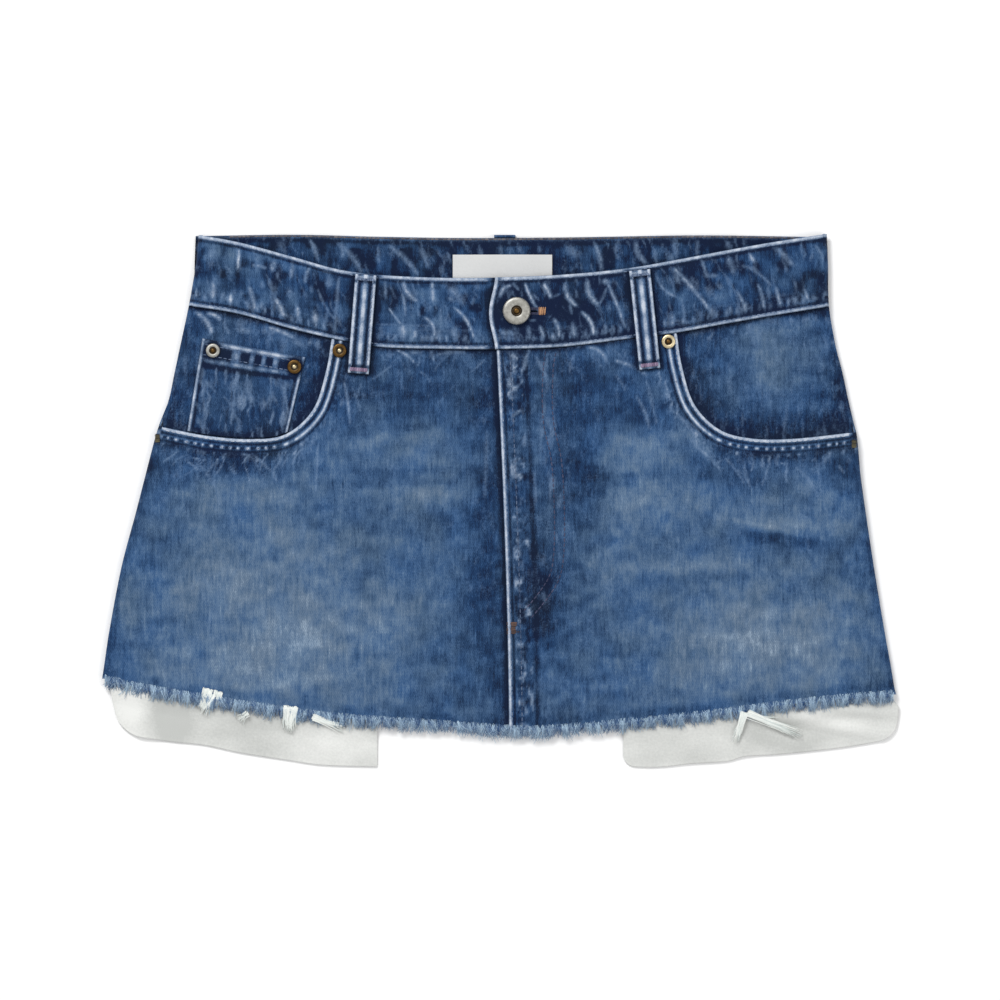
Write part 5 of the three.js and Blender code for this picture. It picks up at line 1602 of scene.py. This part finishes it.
def thread_piece(name, groups, material, slot):
    """All stitches of one thread as one mesh. A group is places, length, width and height."""
    points, faces, tones = [], [], []
    for group in groups:
        start = sum(map(len, points))
        made, sides, tone = grains(*group)
        points.append(made)
        faces += [tuple(i + start for i in side) for side in sides]
        tones.append(tone)
    build(name, np.concatenate(points), faces, material, slot, colour_shares={"tone": np.concatenate(tones)})


def panel_surface(side):
    skin = panel_skin(side)
    return lambda x, y: PANEL_LEVEL[side](x, y) + skin(x, y).relief


def band_surface(side):
    skin = band_skin(side)
    return lambda x, y: BAND_LEVEL[side](x, y) + skin(x, y).relief


def upright_line(x_at, top, bottom):
    y = np.linspace(top, bottom, 60)
    return np.stack([x_at(y), y], axis=1)


def level_line(y_at, left, right):
    x = np.linspace(left, right, 120)
    return np.stack([x, y_at(x)], axis=1)


J_STITCH = (
    (34.5, 92), (32.8, 78), (33, 50), (38.2, 24), (40, -10), (39.3, -36), (36.2, -49.5), (29, -61),
    (20, -72)
)
FLY_TACK_X = 8.2
MOUTH_TACKS = {"right": (-212.4, 38.6), "left": (219.6, 35.2)}
LOOP_THREAD_INSET = 1.9

# Pieces of one thread each: its material's name, dark and light colour
THREADS = {
    "worn_stitches": ("worn_thread", (48, 68, 102), (136, 154, 182)),
    "mouth_stitches": ("pale_thread", (96, 114, 148), (186, 196, 212)),
    "fly_stitches": ("violet_thread", (42, 48, 78), (84, 86, 114)),
    "loop_tacks": ("plum_thread", (84, 62, 92), (168, 150, 176)),
    "buttonhole_bar": ("amber_thread", (120, 84, 62), (206, 160, 120)),
    "pocket_tacks": ("olive_thread", (42, 40, 40), (96, 90, 66)),
    "fly_tack": ("rust_thread", (40, 38, 44), (104, 80, 72)),
    "back_band_stitches": ("taupe_thread", (66, 66, 76), (124, 118, 118))
}
sewn = {name: [] for name in THREADS}


def sew_row(name, size, *how):
    """A row of stitches: size is a stitch's length, width and height, how is as in row_places."""
    sewn[name].append((row_places(*how), *size))


def sew_bar(name, size, *how):
    sewn[name].append((satin(*how), *size))


def sew_side(side):
    panel, band = panel_surface(side), band_surface(side)
    beside_mouth = lambda distance: offset_path(mouth_path(side), distance * INWARD[side])
    sew_row("mouth_stitches", (2.7, 0.7, 0.42), beside_mouth(1.7), 3.4, panel, 0.12, (0.5, 1), 0)
    sew_row("fly_stitches", (2.7, 0.7, 0.42), beside_mouth(5.9), 5.4, panel, -0.22, (0, 0.5), 1)
    ends = (-187, -6.5) if side == "right" else (-1, 198)
    for line in (lambda x: band_top(x) - 2.0, lambda x: band_seam(x) + 2.0):
        sew_row("worn_stitches", (2.5, 0.6, 0.42), level_line(line, *ends), 3.1, band, 0.08, (0.2, 0.8), 3)
    top_x, lean, overhang = FRONT_LOOPS[side]
    top_y = band_top(top_x) + overhang
    outer = front_loop(side)[0]
    middle = outer[len(outer) // 2]
    height = lambda x, y: np.interp(-y, -middle[:, 1], middle[:, 2])
    on_loop = lambda run, aside=0.0: np.stack(
        [top_x + lean * run + aside, top_y - run * LOOP_LENGTH], axis=-1
    )
    for aside in (LOOP_THREAD_INSET - LOOP_WIDTH / 2, LOOP_WIDTH / 2 - LOOP_THREAD_INSET):
        line = on_loop(np.linspace(0.05, 0.95, 30), aside)
        sew_row("worn_stitches", (2.4, 0.6, 0.42), line, 3.0, height, 0.0, (0.3, 0.9), 5)
    half_width = LOOP_WIDTH / 2 - 1.2
    half = np.array([half_width, half_width * math.tan(math.atan2(lean, LOOP_LENGTH))])
    foot, head = on_loop(0.96), on_loop(0.05)
    sew_bar("loop_tacks", (2.6, 0.6, 0.5), foot - half, foot + half, height, 0.1, 0.45, 7)
    sew_bar("worn_stitches", (1.7, 0.5, 0.45), head - half, head + half, height, 0.1, 0.45, 8)
    x, y = MOUTH_TACKS[side]
    sew_bar("pocket_tacks", (3.4, 0.5, 0.45), (x, y - 2.4), (x, y + 2.6), panel, 0.2, 0.42, 9)
    under = lambda x, y: loop_rise(x, y) + 0.28
    for distance in (3.2, 9.2):
        line = upright_line(lambda y: BACK_MIDDLE_X - INWARD[side] * distance + 0 * y, 118, -136)
        sew_row("worn_stitches", (2.6, 0.6, 0.34), line, 3.2, under, 0.0, (0.2, 0.8), 10)


def sew_fly(panel):
    for distance, tones in ((2.0, (0.3, 0.9)), (8.2, (0.0, 0.5))):
        line = upright_line(lambda y: fly_x(y) + distance, 93, -140)
        sew_row("worn_stitches", (2.6, 0.6, 0.42), line, 3.2, panel, 0.1, tones, 11)
    curve = spline(J_STITCH, np.linspace(0, 1, 80))
    for distance in (0, 6.2):
        sew_row(
            "fly_stitches", (2.7, 0.74, 0.42), offset_path(curve, -distance), 3.3, panel, 0.1, (0, 0.7), 12
        )
    sew_bar("fly_tack", (8.6, 0.62, 0.5), (FLY_TACK_X, -82.6), (FLY_TACK_X, -75.4), panel, 0.35, 0.42, 13)


def sew_coin_pocket():
    (ox, oy, ofoot), (ix, iy, ifoot) = COIN_POCKET["outer"], COIN_POCKET["inner"]
    for down in (3.4, 9.6):
        a, b = (lerp(top, foot, down / COIN_HEIGHT) for top, foot in ((ox, ofoot), (ix, ifoot)))
        line = level_line(lambda x: lerp(oy, iy, (x - a) / (b - a)) - down, a + 2, b - 2)
        sew_row("worn_stitches", (2.5, 0.6, 0.42), line, 3.2, coin_level, 0.1, (0.0, 0.6), 14)


def sew_buttonhole(band):
    for way in (-1, 1):
        line = level_line(lambda x: BUTTON[1] + way * 1.5 + 0 * x, 13.5, 24.0)
        sew_row("fly_stitches", (1.9, 0.42, 0.4), line, 0.5, band, 0.12, (0, 1), 15, 1)
    sew_bar("buttonhole_bar", (5.4, 0.6, 0.55), (24.0, BUTTON[1]), (28.2, BUTTON[1]), band, 0.3, 0.45, 16)


def sew_back_band():
    inside = lambda x, y: BAND + loop_rise(x, y) + 0.1
    line = level_line(lambda x: back_top(x) - 0.9, -168, 185)
    sew_row("back_band_stitches", (2.7, 1.1, 0.5), line, 2.6, inside, -0.1, (0, 0.8), 17)


sew_side("right")
sew_side("left")
sew_fly(panel_surface("left"))
sew_coin_pocket()
sew_buttonhole(band_surface("left"))
sew_back_band()
for name, groups in sewn.items():
    thread_piece(name, groups, thread_material(*THREADS[name]), "denim")

# Fringe


def tubes(roots, ways, bends, radii, segments=4, sides=3):
    """Loose threads as tapering tubes from their roots, bent aside towards their ends."""
    t = np.linspace(0, 1, segments + 1)[None, :, None]
    centre = roots[:, None, :] + ways[:, None, :] * t + bends[:, None, :] * t**2
    run = ways[:, None, :] + 2 * bends[:, None, :] * t
    run /= np.linalg.norm(run, axis=2, keepdims=True)
    across = np.cross(run, (0, 0, 1.0))
    across /= np.linalg.norm(across, axis=2, keepdims=True)
    up = np.cross(across, run)
    turn = (np.arange(sides) * 2 * np.pi / sides)[None, None, :, None]
    radius = (radii[:, None, None] * (1 - 0.5 * t))[:, :, None, :]
    centre[..., 2] = np.maximum(centre[..., 2], radii[:, None] + 0.05)
    ring = centre[:, :, None, :] + radius * (
        np.cos(turn) * across[:, :, None] + np.sin(turn) * up[:, :, None]
    )
    at = np.arange(ring.size // 3).reshape(ring.shape[:3])
    after = np.roll(at, -1, axis=2)
    quads = np.stack([at[:, :-1], at[:, 1:], after[:, 1:], after[:, :-1]], axis=3).reshape(-1, 4)
    ends = np.concatenate([at[:, 0], at[:, -1, ::-1]])
    return ring.reshape(-1, 3), [*quads.tolist(), *ends.tolist()]


def fringe_threads(name, node, count, edge_y, root_z, tip_z, ends, seed):
    """Frayed ends along a hem: short uneven threads in clumps that lean one way or the other."""
    rng = np.random.default_rng(seed)
    pick = lambda low, high: rng.uniform(low, high, count)
    x = np.sort(pick(*ends))
    clump = wobble(x, 7.3, seed) + 0.5 * wobble(x, 2.9, seed + 1)
    lean = 0.9 * (wobble(x, 9.1, seed + 2) - 0.5) + pick(-0.35, 0.35)
    reach = (2.4 + 2.8 * clump * pick(0.3, 1.0)) * (1 + 0.25 * wobble(x, 41, 3))
    reach = reach * lerp(1.35, 1.22, smoothstep(x, -170, -80))
    over = pick(-0.6, 3.4)
    y = edge_y(x) + over
    z = root_z(x) + np.where(over > 0, 0.2, -0.55)
    length = reach + np.maximum(over, 0)
    ways = np.stack([length * np.sin(lean), -length * np.cos(lean), tip_z(x) - z + pick(-0.2, 0.7)], axis=1)
    bends = np.stack([pick(-2.4, 2.4), pick(-0.4, 2.2), pick(-0.3, 0.4)], axis=1)
    points, faces = tubes(np.stack([x, y, z], axis=1), ways, bends, pick(0.14, 0.26))
    tone = np.repeat(np.clip(0.75 * clump - 0.08 + pick(-0.45, 0.4), 0, 1), len(points) // count)
    build(name, points, faces, frayed_yarn, "frayed_yarn", node, {"tone": tone})


def hem_level(x):
    y = hem_y(x)
    return np.where(x < fly_x(FLY_FOOT_Y), right_panel_level(x, y), left_panel_level(x, y))


fringe_threads(
    "front_fringe", "fringe_front", 5600, hem_y, hem_level, lambda x: np.maximum(hem_level(x) - 1.2, 3.1),
    (-245, 244), 5
)
fringe_threads(
    "back_fringe", "fringe_back", 2000, back_hem_y, lambda x: 0.75 + 0 * x, lambda x: 0.4 + 0 * x,
    (-243, 242), 6
)

# Long white threads: root, way to the tip, width of the bundle, threads, and how far they rise
WHITE_TUFTS = (
    (-181.0, -117.8, -3.8, -13.2, 5.0, 44, 0.4), (-174.4, -119.2, -2.2, -8.4, 6.2, 38, 0.5),
    (-177.6, -121.0, -7.6, -13.4, 2.2, 12, 0.3), (-129.8, -128.4, -1.6, -14.6, 8.8, 70, 0.3),
    (-156.4, -132.6, -5.4, -4.6, 2.6, 14, 0.2), (-116.0, -135.0, 19.0, -7.0, 3.0, 26, 0.2),
    (151.6, -132.4, -5.6, -17.2, 3.6, 40, 0.4), (153.6, -133.0, 32.4, -12.8, 4.6, 44, 0.3),
    (157.0, -134.0, 14.0, -3.6, 2.2, 10, 0.1)
)


def white_threads():
    rng = np.random.default_rng(8)
    roots, ways, bends, radii = [], [], [], []
    for x, y, dx, dy, width, count, rise in WHITE_TUFTS:
        pick = lambda low, high: rng.uniform(low, high, count)
        start = pick(-0.5, 0.5) * width
        size = pick(0.7, 1.05)
        long = math.hypot(dx, dy)
        root_x = x - start * dy / long + pick(-0.8, 0.8)
        root_y = y + start * dx / long + pick(-0.5, 1.4)
        roots.append(np.stack([root_x, root_y, hem_level(root_x) + rise], axis=1))
        tip_z = 3.2 + pick(0, 0.9) - roots[-1][:, 2]
        inward_x, inward_y = 0.42 * start * dy / long, -0.42 * start * dx / long
        ways.append(np.stack([dx * size + inward_x, dy * size + inward_y, tip_z], axis=1))
        curl = pick(-2.6, 2.6)
        bends.append(np.stack([curl * dy / long, -curl * dx / long, 0 * start], axis=1))
        radii.append(pick(0.24, 0.46))
    points, faces = tubes(*(np.concatenate(v) for v in (roots, ways, bends, radii)), segments=8, sides=4)
    tone = np.repeat(rng.uniform(0.3, 1, sum(row[5] for row in WHITE_TUFTS)), 36)
    build("white_threads", points, faces, white_yarn, "frayed_yarn", colour_shares={"tone": tone})


white_threads()

# Metal

# Outlines of turned pieces: radius, height above the cloth, and ring: 0 the disc, 1 the recess, 2 the stud
BUTTON_PROFILE = (
    (2.3, -2.2, 1), (2.3, 0.0, 1), (7.0, 0.0, 0), (8.1, 0.25, 0), (8.6, 0.8, 0), (8.58, 1.4, 0),
    (8.3, 1.95, 0), (7.7, 2.35, 0), (6.9, 2.5, 0), (5.4, 2.52, 0), (3.9, 2.5, 0), (3.35, 2.3, 0),
    (3.1, 1.8, 1), (2.7, 1.45, 1), (2.1, 1.4, 1), (1.75, 1.7, 1), (1.55, 2.15, 2), (1.1, 2.4, 2),
    (0.5, 2.5, 2)
)
RIVET_PROFILE = (
    (4.2, 0.0, 0), (4.4, 0.2, 0), (4.4, 0.6, 0), (4.2, 0.95, 0), (3.8, 1.18, 0), (3.2, 1.27, 0),
    (2.4, 1.22, 0), (1.95, 0.95, 1), (1.7, 0.75, 1), (1.45, 0.95, 1), (1.25, 1.5, 2), (0.85, 1.85, 2),
    (0.35, 1.98, 2)
)


def turned(name, node, profile, place, tilt, materials, slot, segments=72):
    """A round metal piece turned about its upright axis, seated square to its cloth."""
    turn = np.arange(segments) * 2 * np.pi / segments
    rows = np.array([(r, h) for r, h, _ in profile])
    points = np.stack(
        [rows[:, :1] * np.cos(turn), rows[:, :1] * np.sin(turn), rows[:, 1:] + 0 * turn], axis=2
    ).reshape(-1, 3)
    at = np.arange(len(points)).reshape(len(profile), segments)
    after = np.roll(at, -1, axis=1)
    faces = np.stack([at[:-1], after[:-1], after[1:], at[1:]], axis=2).reshape(-1, 4).tolist()
    faces += [at[0, ::-1].tolist(), at[-1].tolist()]
    slope_x, slope_y = tilt
    normal = Vector((-slope_x, -slope_y, 1)).normalized()
    turn_to = np.array(normal.to_track_quat("Z", "Y").to_matrix())
    points = points @ turn_to.T + np.array(place)
    piece = build(name, points, faces, materials[0], slot, node)
    for material in materials[1:]:
        piece.data.materials.append(material)
    rings = np.repeat([ring for _, _, ring in profile[1:]], segments).tolist() + [1, 2]
    piece.data.polygons.foreach_set("material_index", rings)


def slope(level, x, y, reach=2.0):
    return (
        float(level(x + reach, y) - level(x - reach, y)) / (2 * reach),
        float(level(x, y + reach) - level(x, y - reach)) / (2 * reach)
    )


head_z = float(left_band_level(*BUTTON)) + 0.5
turned(
    "waist_button", "button", BUTTON_PROFILE, (*BUTTON, head_z), (0, 0), (nickel, shadow_metal, brass),
    "button_metal"
)
# On the brass rivets the pale brass of the stud is a painted highlight
RIVET_LOOKS = {
    "rivet_coin_outer": (coin_level, (nickel, shadow_metal, brass), "button_metal"),
    "rivet_coin_inner": (coin_level, (brass, shadow_metal, pale_brass), "rivet_brass"),
    "rivet_mouth_right": (right_panel_level, (brass, shadow_metal, pale_brass), "rivet_brass"),
    "rivet_mouth_left": (left_panel_level, (pale_brass, shadow_metal, brass), "rivet_brass")
}
for node, (level, materials, slot) in RIVET_LOOKS.items():
    x, y = RIVETS[node]
    place = (x, y, float(level(x, y)) + LAYER_GAP)
    turned(f"worn_{node}", node, RIVET_PROFILE, place, slope(level, x, y), materials, slot, 48)


def zip_grids():
    across, down = shares(ZIP_WIDTH, 1.5)[:, None], shares(166, 2.0)[None, :]
    y = lerp(92.0, TACK_Y + 4, down) + 0 * across
    x = fly_x(y) + 2 + across * ZIP_WIDTH
    made = Skin(x, y)
    # Painted shade along the teeth, in the tape's groove
    made.line(across * ZIP_WIDTH - 11 + 0 * y, 2.6, relief=-0.45, dark=0.4)
    return plain_grid(x, y, zip_level(x, y), ZIP, made)


cloth(
    "zip_tape_cloth", zip_grids(), zip_tape, "zip_tape", "fly_zip",
    "front_panel_right"
)
teeth = []
for way in (-1, 1):
    line = upright_line(lambda y: fly_x(y) + 13 + way * 0.9, 86 + way * 0.35, -72)
    places = row_places(line, 1.4, lambda x, y: zip_level(x, y) - 0.3, 0.0, (0, 1), 18, 1)
    teeth.append((places, 2.8, 0.8, 0.7))
thread_piece("zip_teeth", teeth, brass, "rivet_brass")

# Stage, camera and light

VIEW_WIDTH = 0.62
CAMERA_HEIGHT = 3.0
FOCUS_Z = 0.006
WORLD_STRENGTH = 0.62
CAMERA_AT = (-0.0003, 0.0005)
FLOOR_REACH = 4.0
FLOOR_Z = -0.0006


def make_stage():
    corners = [(x * FLOOR_REACH, y * FLOOR_REACH, FLOOR_Z) for x, y in ((-1, -1), (1, -1), (1, 1), (-1, 1))]
    mesh = bpy.data.meshes.new("floor")
    mesh.from_pydata(corners, [], [(0, 1, 2, 3)])
    g = Graph("floor")
    grain = g.noise((0.01, 0.01, 0.01), 2.0)
    colour = g.ramp(g.math("ADD", grain, 0.5), (0.0, (250, 250, 250)), (1.0, (253, 253, 253)))
    mesh.materials.append(g.surface(colour, roughness=0.9, specular=0.1))
    floor = bpy.data.objects.new("floor", mesh)
    bpy.context.scene.collection.objects.link(floor)
    floor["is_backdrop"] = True


def area_light(name, place, size, power):
    data = bpy.data.lights.new(name, "AREA")
    data.shape = "DISK"
    data.size = size
    data.energy = power
    lamp = bpy.data.objects.new(name, data)
    lamp.location = place
    lamp.rotation_euler = (-Vector(place)).to_track_quat("-Z", "Y").to_euler()
    bpy.context.scene.collection.objects.link(lamp)


def make_view():
    scene = bpy.context.scene
    scene.view_settings.view_transform = "Standard"
    world = bpy.data.worlds.new("studio")
    world.use_nodes = True
    background = world.node_tree.nodes["Background"]
    background.inputs["Color"].default_value = (1, 1, 1, 1)
    background.inputs["Strength"].default_value = WORLD_STRENGTH
    scene.world = world
    area_light("key", (-0.9, 1.6, 1.9), 0.9, 42)
    area_light("fill", (1.4, -0.4, 2.2), 1.6, 12)
    data = bpy.data.cameras.new("camera")
    data.lens = data.sensor_width * (CAMERA_HEIGHT - FOCUS_Z) / VIEW_WIDTH
    camera = bpy.data.objects.new("camera", data)
    camera.location = (*CAMERA_AT, CAMERA_HEIGHT)
    scene.collection.objects.link(camera)
    scene.camera = camera


make_stage()
make_view()

{"cad": cad_box, "visual": [list(corner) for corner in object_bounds()]}
